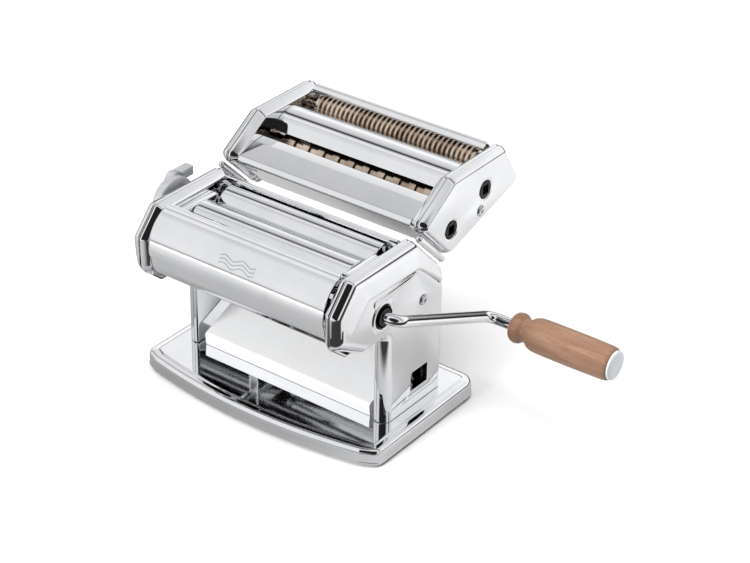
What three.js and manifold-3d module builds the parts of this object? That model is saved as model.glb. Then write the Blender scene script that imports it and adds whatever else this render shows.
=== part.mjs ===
// A hand-cranked pasta roller with a removable two-width noodle cutter, made of separate pieces.
// Millimetres. X runs across the machine towards the crank, Y towards the rear and Z up from the
// lower edge of the base tray. The last lines move the whole group to its own origin.

import * as THREE from "three";
import { mergeVertices } from "three/addons/utils/BufferGeometryUtils.js";
import Module from "manifold-3d";

const wasm = await Module();
wasm.setup();

// ---- Driving dimensions ----------------------------------------------------------------------

const GAP = 0.3;
const SHEET = 1.2;

const TRAY = {
  halfWidth: 102.5,
  rear: 65.5,
  shoulder: -50,
  bowSide: -55.5,
  bowMiddle: -65.7,
  height: 12,
};
const BOW_HALF_WIDTH = 92;
const FOOT = { radius: 8, proud: 2, x: 86, front: -40, rear: 50 };

// Every side is two pressed pans, mouth to mouth: an inner plate and an outer casing.
const WEB_X = 73.7;
const SEAM_X = 80.3;
const FACE_X = 88.5;
const LEG_WEB_X = 77.35;
const LEG = { front: -24, rear: 40, foot: 12 };
const HOUSING_BOTTOM = 80;
const HOUSING_TOP = 138.5;
// Corners of the housing's side outline as [y, z, corner radius].
const HOUSING = [
  [-50, HOUSING_BOTTOM, 6],
  [LEG.rear, HOUSING_BOTTOM, 1.6],
  [LEG.rear, 106.5, 12],
  [8, HOUSING_TOP, 4],
  [-59, HOUSING_TOP, 3.5],
  [-76, 119.6, 5],
  [-75.5, 95, 9],
];
const CLAMP_WINDOW = { front: 4.8, rear: 23.7, bottom: 24.5, top: 39 };
const CASING_SCREW = [15.7, 92];

// Dough rollers and their drive. The rear roller moves rearwards to open the gap.
const ROLLER_RADIUS = 14;
const ROLLER_HALF_LENGTH = 66;
const ROLLER_SPACING = 28.5;
const REAR_AXIS = [0, 119];
const FRONT_AXIS = [REAR_AXIS[0] - ROLLER_SPACING, REAR_AXIS[1]];
const JOURNAL_RADIUS = 5;
const MODULE = 1.5;
const TRANSFER_TEETH = 19;
const DRIVEN_TEETH = 14;
const PINION_TEETH = 11;
const DRIVE_AXIS = [FRONT_AXIS[0], FRONT_AXIS[1] - (MODULE * (DRIVEN_TEETH + PINION_TEETH)) / 2];
const GAP_TRAVEL = 2;
const GEAR_X = [76.2, 80.7];

// Crank: a bent rod whose square end sits in the drive pinion, with a turned wooden grip.
// The arm leans outwards, so that it clears the tray when it points down.
const ELBOW_X = 98.5;
const WRIST_X = 109;
const GRIP_AXIS = [64.6, 63.8];
const ROD_RADIUS = 4;
const GRIP_X = [129.2, 207];
const ROD_END_X = 176;
const SQUARE_END = 6;

// Thickness knob on the far side. Its spindle carries an eccentric that moves the rear roller.
const KNOB_AXIS = [-26.5, 122.5];
const KNOB_RADIUS = 18.4;
const ECCENTRICITY = GAP_TRAVEL / 2;
const KNOB_X = { inner: 90.2, rim: 96.4, face: 98, rib: 105.6 };

// Removable cutter: corners of its side outline as [y, z, corner radius].
const CUTTER = [
  [46.1, 110.5, 8],
  [131, 135.5, 7],
  [109.6, 168, 6],
  [48.5, 167.6, 9],
  [12.2, 144.4, 6],
];
const CUTTER_SEAM_X = 80.8;
const CUTTER_FACE_X = 87.5;
const CUTTER_SPACING = 20;
const CUTTER_TILT = THREE.MathUtils.degToRad(20);
const CUTTER_RADIUS = 10.4;
const CUTTER_ROOT = 8.9;
const CUTTER_HALF_LENGTH = 68;
const CUTTER_MODULE = 1.25;
const CUTTER_TEETH = 16;
const FINE_AXIS = [85.7, 145];
const WIDE_AXIS = [46.8, 130.9];
const FINE_PITCH = 4;
const WIDE_PITCH = 13;
const CUTTER_SCREW = [80, 131.3];

// ---- Finishes --------------------------------------------------------------------------------

function finish(color, roughness, metalness) {
  return () => new THREE.MeshStandardMaterial({ color, roughness, metalness });
}
const chrome = finish(0xdfe3e6, 0.08, 1);
const rollerSteel = finish(0xd4d6d8, 0.16, 1);
const cutterSteel = finish(0xc4b5a4, 0.22, 1);
const gearSteel = finish(0x8f9296, 0.4, 1);
const bronze = finish(0xa97f4a, 0.35, 1);
const castGrey = finish(0xc3c8cc, 0.45, 0.3);
const beech = finish(0xb5764a, 0.5, 0);
const capGrey = finish(0xbccbd6, 0.35, 0.1);
const rubber = finish(0x1b1b1c, 0.85, 0);
const springSteel = finish(0x9a9da1, 0.3, 1);

// ---- Solid helpers ---------------------------------------------------------------------------

// Takes a geometry laid out as (Y, Z, X) to its place, so that outlines are drawn in side view.
const SIDE_VIEW = new THREE.Matrix4().makeBasis(
  new THREE.Vector3(0, 1, 0),
  new THREE.Vector3(0, 0, 1),
  new THREE.Vector3(1, 0, 0),
);

function signedVolume(points, index) {
  const [a, b, c] = [new THREE.Vector3(), new THREE.Vector3(), new THREE.Vector3()];
  let volume = 0;
  for (let i = 0; i < index.length; i += 3) {
    a.fromArray(points, 3 * index[i]);
    b.fromArray(points, 3 * index[i + 1]);
    c.fromArray(points, 3 * index[i + 2]);
    volume += a.dot(b.cross(c)) / 6;
  }
  return volume;
}

// Merges shared corners, drops empty triangles and turns the faces outwards.
function closed(geometry) {
  const bare = geometry.clone();
  bare.deleteAttribute("normal");
  bare.deleteAttribute("uv");
  const merged = mergeVertices(bare, 1e-3);
  const points = merged.attributes.position.array;
  const source = merged.index.array;
  const index = [];
  for (let i = 0; i < source.length; i += 3) {
    const [a, b, c] = [source[i], source[i + 1], source[i + 2]];
    if (a !== b && b !== c && c !== a) index.push(a, b, c);
  }
  if (signedVolume(points, index) < 0) {
    for (let i = 0; i < index.length; i += 3) [index[i], index[i + 1]] = [index[i + 1], index[i]];
  }
  merged.setIndex(index);
  merged.computeVertexNormals();
  return merged;
}

function toManifold(geometry) {
  const vertProperties = new Float32Array(geometry.attributes.position.array);
  const triVerts = new Uint32Array(geometry.index.array);
  return new wasm.Manifold(new wasm.Mesh({ numProp: 3, vertProperties, triVerts }));
}

function fromManifold(manifold) {
  const mesh = manifold.getMesh();
  const geometry = new THREE.BufferGeometry();
  geometry.setAttribute("position", new THREE.BufferAttribute(mesh.vertProperties, 3));
  geometry.setIndex(new THREE.BufferAttribute(mesh.triVerts, 1));
  return closed(geometry);
}

function join(...geometries) {
  return fromManifold(geometries.map(toManifold).reduce((whole, next) => whole.add(next)));
}

function cut(geometry, ...tools) {
  const whole = toManifold(geometry);
  return fromManifold(tools.map(toManifold).reduce((rest, tool) => rest.subtract(tool), whole));
}

function mirrored(geometry) {
  return closed(geometry.clone().scale(-1, 1, 1));
}

// Puts a piece drawn for the crank side on the side asked for: 1 is the crank side, -1 the knob side.
function onSide(side, geometry) {
  return side > 0 ? geometry : mirrored(geometry);
}

// Moves every edge of a counter-clockwise polygon inwards by the inset.
function insetPolygon(points, inset) {
  return points.map(([u, v], i) => {
    const [pu, pv] = points.at(i - 1);
    const [nu, nv] = points[(i + 1) % points.length];
    const before = new THREE.Vector2(v - pv, pu - u).normalize();
    const after = new THREE.Vector2(nv - v, u - nu).normalize();
    const scale = -inset / (1 + before.dot(after));
    return [u + (before.x + after.x) * scale, v + (before.y + after.y) * scale];
  });
}

// Returns a function that gives the rounded outline at any inset, always with the same number of points.
function roundedOutline(corners, arcSteps = 2) {
  return (inset) => {
    const points = insetPolygon(corners, inset);
    return points.flatMap(([u, v], i) => {
      const corner = new THREE.Vector2(u, v);
      const back = new THREE.Vector2(...points.at(i - 1)).sub(corner).normalize();
      const on = new THREE.Vector2(...points[(i + 1) % points.length]).sub(corner).normalize();
      const half = Math.acos(THREE.MathUtils.clamp(back.dot(on), -1, 1)) / 2;
      const convex = back.cross(on) < 0;
      const radius = Math.max(corners[i][2] + (convex ? -inset : inset), 0.4);
      const inwards = back.clone().add(on).normalize();
      const centre = corner.clone().addScaledVector(inwards, radius / Math.sin(half));
      const start = corner.clone().addScaledVector(back, radius / Math.tan(half)).sub(centre);
      const sweep = (convex ? 1 : -1) * (Math.PI - 2 * half);
      return Array.from({ length: arcSteps + 1 }, (_, k) => {
        const angle = (sweep * k) / arcSteps;
        const point = start.clone().rotateAround(new THREE.Vector2(), angle).add(centre);
        return [point.x, point.y];
      });
    });
  };
}

// Lofts an outline through steps of [height, inset] and closes both ends.
function loft(outline, steps) {
  const rings = steps.map(([, inset]) => outline(inset));
  const count = rings[0].length;
  const position = rings.flatMap((ring, k) => ring.flatMap(([u, v]) => [u, v, steps[k][0]]));
  const index = [];
  for (let k = 0; k + 1 < rings.length; k += 1) {
    for (let i = 0; i < count; i += 1) {
      const a = k * count + i;
      const b = k * count + ((i + 1) % count);
      index.push(a, b, b + count, a, b + count, a + count);
    }
  }
  const ends = [[rings[0], 0, -1], [rings.at(-1), (rings.length - 1) * count, 1]];
  for (const [ring, first, facing] of ends) {
    const contour = ring.map(([u, v]) => new THREE.Vector2(u, v));
    for (const [a, b, c] of THREE.ShapeUtils.triangulateShape(contour, [])) {
      const turn = THREE.ShapeUtils.area([contour[a], contour[b], contour[c]]) * facing;
      index.push(first + a, first + (turn > 0 ? b : c), first + (turn > 0 ? c : b));
    }
  }
  const geometry = new THREE.BufferGeometry();
  geometry.setAttribute("position", new THREE.Float32BufferAttribute(position, 3));
  geometry.setIndex(index);
  return geometry;
}

function sideLoft(outline, steps) {
  return closed(loft(outline, steps).applyMatrix4(SIDE_VIEW));
}

function shapeOf(points) {
  return new THREE.Shape(points.map(([u, v]) => new THREE.Vector2(u, v)));
}

function circlePath([y, z], radius) {
  return new THREE.Path().absarc(y, z, radius, 0, 2 * Math.PI);
}

// A prism whose outline is drawn in side view and which runs from one X to the other.
function prism(points, [from, to], holes = []) {
  const shape = shapeOf(points);
  shape.holes = holes.map(([axis, radius]) => circlePath(axis, radius));
  const options = { depth: to - from, bevelEnabled: false, curveSegments: 8 };
  const geometry = new THREE.ExtrudeGeometry(shape, options);
  return closed(geometry.translate(0, 0, from).applyMatrix4(SIDE_VIEW));
}

function box(x, y, z) {
  const geometry = new THREE.BoxGeometry(x[1] - x[0], y[1] - y[0], z[1] - z[0]);
  return closed(geometry.translate((x[0] + x[1]) / 2, (y[0] + y[1]) / 2, (z[0] + z[1]) / 2));
}

// A turned piece about an axis along X. The profile is a list of [x, radius].
function turned([y, z], profile, sides = 20) {
  const geometry = new THREE.LatheGeometry(profile.map(([x, r]) => new THREE.Vector2(r, x)), sides);
  const alongX = new THREE.Matrix4().makeBasis(
    new THREE.Vector3(0, 0, 1),
    new THREE.Vector3(1, 0, 0),
    new THREE.Vector3(0, 1, 0),
  );
  return closed(geometry.applyMatrix4(alongX).translate(0, y, z));
}

function cylinder(axis, radius, [from, to], sides = 20) {
  return turned(axis, [[from, 0], [from, radius], [to, radius], [to, 0]], sides);
}

// Points of a bent sheet: a polyline, and the same line moved to its left by the thickness.
function sheetSection(line, thickness = SHEET) {
  const moved = line.map(([u, v], i) => {
    const point = new THREE.Vector2(u, v);
    const before = i > 0 ? point.clone().sub(new THREE.Vector2(...line[i - 1])).normalize() : null;
    const after = i + 1 < line.length ? new THREE.Vector2(...line[i + 1]).sub(point).normalize() : null;
    const [first, second] = [before ?? after, after ?? before];
    const scale = thickness / (1 + first.dot(second));
    return [u - (first.y + second.y) * scale, v + (first.x + second.x) * scale];
  });
  return [...line, ...moved.reverse()];
}

function bentSheet(line, halfWidth, thickness = SHEET) {
  return prism(sheetSection(line, thickness), [-halfWidth, halfWidth]);
}

// Straight-flanked teeth, thinned for easy running. A tooth is centred on the phase angle.
function gear(axis, teeth, module, phase, [from, to], bore) {
  const pitchRadius = (module * teeth) / 2;
  const halfTooth = 0.17 * Math.PI * module;
  const points = [];
  for (let i = 0; i < teeth; i += 1) {
    const middle = phase + (2 * Math.PI * i) / teeth;
    for (const [rise, side] of [[-1.25, -1], [1, -1], [1, 1], [-1.25, 1]]) {
      const radius = pitchRadius + rise * module;
      const angle = middle + (side * (halfTooth - rise * module * Math.tan(0.35))) / radius;
      points.push([axis[0] + radius * Math.cos(angle), axis[1] + radius * Math.sin(angle)]);
    }
  }
  return prism(points, [from, to], bore ? [[axis, bore]] : []);
}

const model = new THREE.Group();

function add(name, geometry, material) {
  const mesh = new THREE.Mesh(geometry, material());
  mesh.name = name;
  model.add(mesh);
}

// ---- Base ------------------------------------------------------------------------------------

function trayOutline() {
  const bow = [-90, -60, -30, 0, 30, 60, 90].map((x) => {
    const rise = (TRAY.bowSide - TRAY.bowMiddle) * (x / BOW_HALF_WIDTH) ** 2;
    return [x, TRAY.bowMiddle + rise, Math.abs(x) === 90 ? 6 : 30];
  });
  return roundedOutline([
    ...bow,
    [TRAY.halfWidth, TRAY.shoulder, 8],
    [TRAY.halfWidth, TRAY.rear, 12],
    [-TRAY.halfWidth, TRAY.rear, 12],
    [-TRAY.halfWidth, TRAY.shoulder, 8],
  ], 2);
}

function baseTray() {
  const outside = [[TRAY.height, 4], [TRAY.height - 0.9, 1.5], [TRAY.height - 3, 0.2], [0, 0]];
  const inside = [[0, SHEET], [TRAY.height - 3.2, SHEET + 0.3], [TRAY.height - SHEET, 4.4]];
  return closed(loft(trayOutline(), [...outside, ...inside]));
}

function rubberFoot(x, y) {
  const top = TRAY.height - SHEET - GAP;
  const sole = [[-FOOT.proud, 0], [-FOOT.proud, FOOT.radius - 1], [-FOOT.proud + 1, FOOT.radius]];
  const profile = [...sole, [top, 6.5], [top, 0]];
  const geometry = new THREE.LatheGeometry(profile.map(([z, r]) => new THREE.Vector2(r, z)), 14);
  return closed(geometry.rotateX(Math.PI / 2).translate(x, y, 0));
}

// The sheet slides down this plate and out at the front. Its front edge is turned down to the tray.
function chutePlate() {
  const line = [[-20.6, TRAY.height + GAP], [-21.4, 20.6], [-20.2, 22], [38.4, 45.6]];
  return bentSheet(line.reverse(), LEG_WEB_X - 0.5);
}

// ---- Sides -----------------------------------------------------------------------------------

const housingOutline = roundedOutline(HOUSING);
// The plates reach further down at the front than the casings do.
const plateOutline = roundedOutline([[-57.5, HOUSING_BOTTOM, 2.5], ...HOUSING.slice(1)]);
const legOutline = roundedOutline([
  [LEG.front, LEG.foot + GAP, 1.6],
  [LEG.rear, LEG.foot + GAP, 1.6],
  [LEG.rear, HOUSING_BOTTOM + 12, 1.6],
  [LEG.front, HOUSING_BOTTOM + 12, 1.6],
], 2);

function sidePlate(side) {
  const outside = join(
    sideLoft(plateOutline, [[WEB_X, 0.8], [WEB_X + 0.7, 0], [SEAM_X, 0]]),
    sideLoft(legOutline, [[LEG_WEB_X, 0.8], [LEG_WEB_X + 0.7, 0], [SEAM_X, 0]]),
  );
  const hollow = join(
    sideLoft(plateOutline, [[WEB_X + SHEET, SHEET], [SEAM_X + 1, SHEET]]),
    sideLoft(legOutline, [[LEG_WEB_X + SHEET, SHEET], [SEAM_X + 1, SHEET]]),
  );
  const through = [WEB_X - 1, WEB_X + SHEET + 1];
  const holes = [
    cylinder(FRONT_AXIS, 7.3, through, 16),
    cylinder([REAR_AXIS[0] + GAP_TRAVEL / 2, REAR_AXIS[1]], 7.2, through, 16),
    cylinder(CASING_SCREW, 2.1, through, 8),
  ];
  if (side > 0) holes.push(cylinder(DRIVE_AXIS, 4.3, through, 12));
  return onSide(side, cut(outside, hollow, ...holes));
}

function sideCasing(side) {
  const start = SEAM_X + GAP;
  const outside = [[start, 0], [FACE_X - 3.4, 0], [FACE_X - 1, 1], [FACE_X, 3.6]];
  const inside = [[start - 1, SHEET], [FACE_X - 4, SHEET], [FACE_X - SHEET, 5.2]];
  const whole = join(sideLoft(housingOutline, outside), sideLoft(legOutline, outside));
  const hollow = join(sideLoft(housingOutline, inside), sideLoft(legOutline, inside));
  const tools = [hollow, cylinder(CASING_SCREW, 2.1, [FACE_X - 3, FACE_X + 1], 8)];
  if (side > 0) {
    const { front, rear, bottom, top } = CLAMP_WINDOW;
    tools.push(box([FACE_X - 3, FACE_X + 1], [front, rear], [bottom, top]));
    tools.push(cylinder(DRIVE_AXIS, 8.3, [FACE_X - 3, FACE_X + 1], 20));
  } else {
    tools.push(cylinder(KNOB_AXIS, 4.6, [FACE_X - 3, FACE_X + 1], 14));
  }
  return onSide(side, cut(whole, ...tools));
}

function screw([y, z], face, tip, side) {
  const shank = [[tip, 0], [tip, 1.8], [face + GAP, 1.8], [face + GAP, 3.6]];
  const head = [[face + 1.2, 3.4], [face + 1.9, 2], [face + 1.9, 0]];
  return onSide(side, turned([y, z], [...shank, ...head], 8));
}

// A round runner on the sloping rear corner. The cutter slides down onto it.
function cutterRail(side) {
  const length = 42;
  const offset = 3.5;
  const geometry = new THREE.CapsuleGeometry(2.5, length - 5, 2, 10);
  const middle = new THREE.Vector3(84.2, 24.8 + offset * Math.SQRT1_2, 121.7 + offset * Math.SQRT1_2);
  const placed = geometry.rotateX((3 * Math.PI) / 4).translate(middle.x, middle.y, middle.z);
  return onSide(side, closed(placed));
}

// ---- Covers, guides and rods between the sides -------------------------------------------------

const INNER_HALF_WIDTH = WEB_X - GAP;

function arcPoints([y, z], radius, fromDegrees, toDegrees, steps) {
  return Array.from({ length: steps + 1 }, (_, i) => {
    const angle = THREE.MathUtils.degToRad(fromDegrees + ((toDegrees - fromDegrees) * i) / steps);
    return [y + radius * Math.cos(angle), z + radius * Math.sin(angle)];
  });
}

// A convex nose with a turned-in top flange and a smaller curled band along the bottom.
function frontCover() {
  const flange = [[-46, 134.4], [-54.8, 136.4]];
  const nose = arcPoints([-46.5, 111.5], 27, 112, 193, 7);
  const band = [[-71, 103.6], [-70.2, 97.4], [-66.8, 92.2], [-62.8, 89.4]];
  return bentSheet([...flange, ...nose, ...band], INNER_HALF_WIDTH);
}

function rearCover() {
  const back = [[37, 48], [37, 105.7], [6.4, 136.4]];
  return bentSheet([...back, [4.4, 136.4], [4.4, 134]], INNER_HALF_WIDTH);
}

function doughGuide(side) {
  const outline = [[-44, 110], [-9.5, 110], [-9.5, 129], [-12, 131.5], [-42, 131.5], [-44, 129.5]];
  const hole = [FRONT_AXIS, JOURNAL_RADIUS + 1];
  return onSide(side, prism(outline, [ROLLER_HALF_LENGTH + 0.6, INNER_HALF_WIDTH], [hole]));
}

function scraper(tip, heel) {
  return bentSheet([tip, heel, [heel[0], heel[1] - 5]], ROLLER_HALF_LENGTH - 1, 1);
}

// ---- Rollers, gears and bearings ---------------------------------------------------------------

function roller(axis, left, right) {
  const body = [[-ROLLER_HALF_LENGTH, JOURNAL_RADIUS], [-ROLLER_HALF_LENGTH, ROLLER_RADIUS - 0.5]];
  const edge = [[-ROLLER_HALF_LENGTH + 0.5, ROLLER_RADIUS], [ROLLER_HALF_LENGTH - 0.5, ROLLER_RADIUS]];
  const end = [[ROLLER_HALF_LENGTH, ROLLER_RADIUS - 0.5], [ROLLER_HALF_LENGTH, JOURNAL_RADIUS]];
  return turned(axis, [...left, ...body, ...edge, ...end, ...right], 18);
}

function frontRoller() {
  return roller(FRONT_AXIS, [[-81, 0], [-81, JOURNAL_RADIUS]], [[81, JOURNAL_RADIUS], [81, 0]]);
}

function rearRoller() {
  const spigot = 83.6;
  const left = [[-spigot, 0], [-spigot, 4], [-81, 4], [-81, JOURNAL_RADIUS]];
  const right = left.map(([x, r]) => [-x, r]).reverse();
  return roller(REAR_AXIS, left, right);
}

function knobSideGear(axis, phase) {
  return mirrored(gear(axis, TRANSFER_TEETH, MODULE, phase, GEAR_X, JOURNAL_RADIUS + GAP));
}

function drivenGear() {
  return gear(FRONT_AXIS, DRIVEN_TEETH, MODULE, -Math.PI / 2, GEAR_X, JOURNAL_RADIUS + GAP);
}

function squareSocket([y, z], half, span) {
  return box(span, [y - half, y + half], [z - half, z + half]);
}

// The pinion, its inner journal and the sleeve with the crank's square socket are one piece.
function drivePinion() {
  const teeth = gear(DRIVE_AXIS, PINION_TEETH, MODULE, Math.PI / 2 + Math.PI / PINION_TEETH, [76, 81], 0);
  const core = turned(DRIVE_AXIS, [[73.9, 0], [73.9, 4], [77, 4], [80, 6.4], [89.4, 6.4], [89.4, 0]], 16);
  return cut(join(teeth, core), squareSocket(DRIVE_AXIS, SQUARE_END / 2 + GAP, [77.2, 91]));
}

function driveBushing() {
  const profile = [[84.6, 6.7], [84.6, 10], [86.9, 10], [86.9, 8], [89.3, 8], [89.3, 6.7], [84.6, 6.7]];
  return turned(DRIVE_AXIS, profile, 18);
}

function frontBushing(side) {
  const profile = [[73.8, 5.2], [73.8, 7], [75.1, 7], [75.1, 8.5], [76, 8.5], [76, 5.2], [73.8, 5.2]];
  return onSide(side, turned(FRONT_AXIS, profile, 16));
}

// The blocks carry the rear roller's ends and slide fore and aft inside the casings.
function bearingBlockRight() {
  return prism([[-11.7, 109], [11.7, 109], [11.7, 128], [-11.7, 128]], [81.2, 84.2], [[REAR_AXIS, 4.2]]);
}

// This block reaches forwards to the eccentric, and has a window round it.
function bearingBlockLeft() {
  const rear = [[11.7, 110], [11.7, 122.5], [6.2, 128]];
  const outline = [[-37, 110], ...rear, [-10, 128], [-15, 132], [-37, 132]];
  const bore = cylinder(REAR_AXIS, 4.2, [-83.9, -81], 16);
  const slot = { half: 4.5 + 0.45, high: 4.5 + ECCENTRICITY + 0.4 };
  const middle = KNOB_AXIS[0] - ECCENTRICITY;
  const window = box(
    [-87.5, -84.4],
    [middle - slot.half, middle + slot.half],
    [KNOB_AXIS[1] - slot.high, KNOB_AXIS[1] + slot.high],
  );
  return cut(prism(outline, [-86.8, -81.2]), bore, window);
}

// ---- Crank -------------------------------------------------------------------------------------

function crankPath() {
  const bend = 8.5;
  const start = new THREE.Vector3(89.7, ...DRIVE_AXIS);
  const elbow = new THREE.Vector3(ELBOW_X, ...DRIVE_AXIS);
  const wrist = new THREE.Vector3(WRIST_X, ...GRIP_AXIS);
  const end = new THREE.Vector3(ROD_END_X, ...GRIP_AXIS);
  const path = new THREE.CurvePath();
  const near = (from, towards) => from.clone().add(towards.clone().sub(from).setLength(bend));
  path.add(new THREE.LineCurve3(start, near(elbow, start)));
  path.add(new THREE.QuadraticBezierCurve3(near(elbow, start), elbow, near(elbow, wrist)));
  path.add(new THREE.LineCurve3(near(elbow, wrist), near(wrist, elbow)));
  path.add(new THREE.QuadraticBezierCurve3(near(wrist, elbow), wrist, near(wrist, end)));
  path.add(new THREE.LineCurve3(near(wrist, end), end));
  return path;
}

function crankRod() {
  const section = new THREE.Shape().absarc(0, 0, ROD_RADIUS, 0, 2 * Math.PI);
  const options = { steps: 28, curveSegments: 5, extrudePath: crankPath() };
  const rod = closed(new THREE.ExtrudeGeometry(section, options));
  return join(rod, squareSocket(DRIVE_AXIS, SQUARE_END / 2, [78, 90]));
}

function woodenGrip() {
  const [from, to] = GRIP_X;
  const bore = ROD_RADIUS + GAP;
  const pocket = [[ROD_END_X + 2, 0], [ROD_END_X + 2, bore], [from, bore], [from, 7.5]];
  const collar = [[from + 1.2, 9.8], [from + 4.5, 10.8], [from + 7.6, 9.8], [from + 9.4, 8.2]];
  const neck = [[from + 12, 8.4], [from + 15, 10.6]];
  const barrel = [[from + 18.5, 11.8], [from + 40, 12.3], [to - 14, 12.1]];
  const end = [[to - 3, 11.8], [to, 10.4], [to, 0]];
  return turned(GRIP_AXIS, [...pocket, ...collar, ...neck, ...barrel, ...end], 15);
}

function gripEndCap() {
  const from = GRIP_X[1] + GAP;
  const profile = [[from, 0], [from, 10.4], [from + 1.2, 10.2], [from + 2, 9], [from + 2.3, 0]];
  return turned(GRIP_AXIS, profile, 18);
}

// ---- Thickness knob ----------------------------------------------------------------------------

// The finger bar across the knob, drawn in side view with round ends.
function fingerBar() {
  const half = 4.6;
  const reach = KNOB_RADIUS + 1.6 - half;
  const tilt = THREE.MathUtils.degToRad(52);
  const round = arcPoints([reach, 0], half, -90, 90, 4);
  const outline = [...round, ...round.map(([u, v]) => [-u, -v])];
  return outline.map(([u, v]) => [
    KNOB_AXIS[0] + u * Math.cos(tilt) - v * Math.sin(tilt),
    KNOB_AXIS[1] + u * Math.sin(tilt) + v * Math.cos(tilt),
  ]);
}

// The tab that stands out past the knob's rim, with a round upper corner.
function fingerTab() {
  const [low, high] = [[9.5, 8.5], [26.5, 15.7]];
  const round = arcPoints([low[0] + 4, high[1] - 4], 4, 90, 180, 4);
  return [low, [high[0], low[1]], high, ...round].map(([u, v]) => [KNOB_AXIS[0] + u, KNOB_AXIS[1] + v]);
}

function thicknessKnob() {
  const { inner, rim, face, rib } = KNOB_X;
  const bore = 3.4;
  const back = [[inner, bore], [inner, KNOB_RADIUS - 1], [inner + 1, KNOB_RADIUS]];
  const front = [[rim, KNOB_RADIUS], [face, KNOB_RADIUS - 2], [face, 0]];
  const pocketFloor = face - 0.8;
  const pocket = [[pocketFloor, 0], [pocketFloor, 7.5], [inner + 1.2, 7.5], [inner + 1.2, bore], [inner, bore]];
  const disc = turned(KNOB_AXIS, [...back, ...front, ...pocket], 22);
  return mirrored(join(disc, prism(fingerBar(), [face - 0.4, rib]), prism(fingerTab(), [face - 0.4, rib])));
}

function dialSpindle() {
  const shaft = [[87, 0], [87, 4], [89.9, 4], [89.9, 3], [96, 3], [96, 5.5], [96.9, 5.5], [96.9, 0]];
  const cam = cylinder([KNOB_AXIS[0] - ECCENTRICITY, KNOB_AXIS[1]], 4.5, [84.7, 87.1], 16);
  return mirrored(join(turned(KNOB_AXIS, shaft, 16), cam));
}

class Helix extends THREE.Curve {
  constructor(centre, radius, turns, rise) {
    super();
    Object.assign(this, { centre, radius, turns, rise });
  }

  getPoint(t, target = new THREE.Vector3()) {
    const angle = 2 * Math.PI * this.turns * t;
    const y = this.radius * Math.cos(angle);
    const z = this.radius * Math.sin(angle);
    return target.set(this.rise * t, y, z).add(this.centre);
  }
}

// A light coil inside the knob draws it back against the casing after it is pulled out.
function knobSpring() {
  const path = new Helix(new THREE.Vector3(92.2, ...KNOB_AXIS), 5, 3, 3.3);
  const wire = new THREE.Shape().absarc(0, 0, 0.4, 0, 2 * Math.PI);
  const options = { steps: 24, curveSegments: 3, extrudePath: path };
  return mirrored(closed(new THREE.ExtrudeGeometry(wire, options)));
}

// ---- Cutter unit -------------------------------------------------------------------------------

const cutterOutline = roundedOutline(CUTTER);
const CUTTER_STEP = [CUTTER_SPACING * Math.cos(CUTTER_TILT), CUTTER_SPACING * Math.sin(CUTTER_TILT)];

function secondAxis([y, z]) {
  return [y + CUTTER_STEP[0], z + CUTTER_STEP[1]];
}
const CUTTER_AXES = [FINE_AXIS, secondAxis(FINE_AXIS), WIDE_AXIS, secondAxis(WIDE_AXIS)];

function cutterPlate(side) {
  const outside = sideLoft(cutterOutline, [[WEB_X, 0.8], [WEB_X + 0.7, 0], [CUTTER_SEAM_X, 0]]);
  const hollow = sideLoft(cutterOutline, [[WEB_X + SHEET, SHEET], [CUTTER_SEAM_X + 1, SHEET]]);
  const through = [WEB_X - 1, WEB_X + SHEET + 1];
  const holes = CUTTER_AXES.map((axis) => cylinder(axis, JOURNAL_RADIUS + GAP, through, 14));
  return onSide(side, cut(outside, hollow, ...holes, cylinder(CUTTER_SCREW, 2.1, through, 8)));
}

function cutterCasing(side) {
  const start = CUTTER_SEAM_X + GAP;
  const face = CUTTER_FACE_X;
  const outside = sideLoft(cutterOutline, [[start, 0], [face - 3.2, 0], [face - 1, 1], [face, 3.6]]);
  const hollow = sideLoft(cutterOutline, [[start - 1, SHEET], [face - 3.6, SHEET], [face - SHEET, 4.8]]);
  const through = [face - 3, face + 1];
  const tools = [hollow, cylinder(CUTTER_SCREW, 2.1, through, 8)];
  if (side > 0) tools.push(...[FINE_AXIS, WIDE_AXIS].map((axis) => cylinder(axis, 6.6, through, 16)));
  return onSide(side, cut(outside, ...tools));
}

// The rear cover starts as a round lip above the fine cutters and runs down the back.
function cutterRearCover() {
  const lip = arcPoints([105.8, 164.4], 3.6, 50, 185, 5);
  return bentSheet([[124.6, 135.8], [129.4, 140], ...lip], INNER_HALF_WIDTH);
}

// The middle cover carries the sheet to either pair of cutters.
function cutterDeck() {
  const crown = arcPoints([76.5, 139.5], 22, 52, 118, 5);
  return bentSheet([[90.6, 155.2], ...crown, [62.6, 156], [58.6, 150.4]], INNER_HALF_WIDTH);
}

function cutterFrontCover() {
  const face = [[46, 114.4], [17.6, 142]];
  const lip = [[20.5, 145], [38, 149.6], [46.5, 150.4], [50.4, 146]];
  return bentSheet([...face, ...lip].reverse(), INNER_HALF_WIDTH);
}

// Fine cutters are rings with sloping flanks. A ring of one faces a root of the other.
function fineCutter(axis, shift) {
  const profile = [[-81, 0], [-81, JOURNAL_RADIUS], [-CUTTER_HALF_LENGTH, JOURNAL_RADIUS]];
  const halfPitch = FINE_PITCH / 2;
  const count = (2 * CUTTER_HALF_LENGTH) / halfPitch;
  for (let i = 0; i <= count; i += 1) {
    profile.push([-CUTTER_HALF_LENGTH + i * halfPitch, (i + shift) % 2 ? CUTTER_RADIUS : CUTTER_ROOT]);
  }
  const end = [[CUTTER_HALF_LENGTH, JOURNAL_RADIUS], [81.2, JOURNAL_RADIUS], [81.2, 0]];
  return turned(axis, [...profile, ...end], 7);
}

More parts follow.
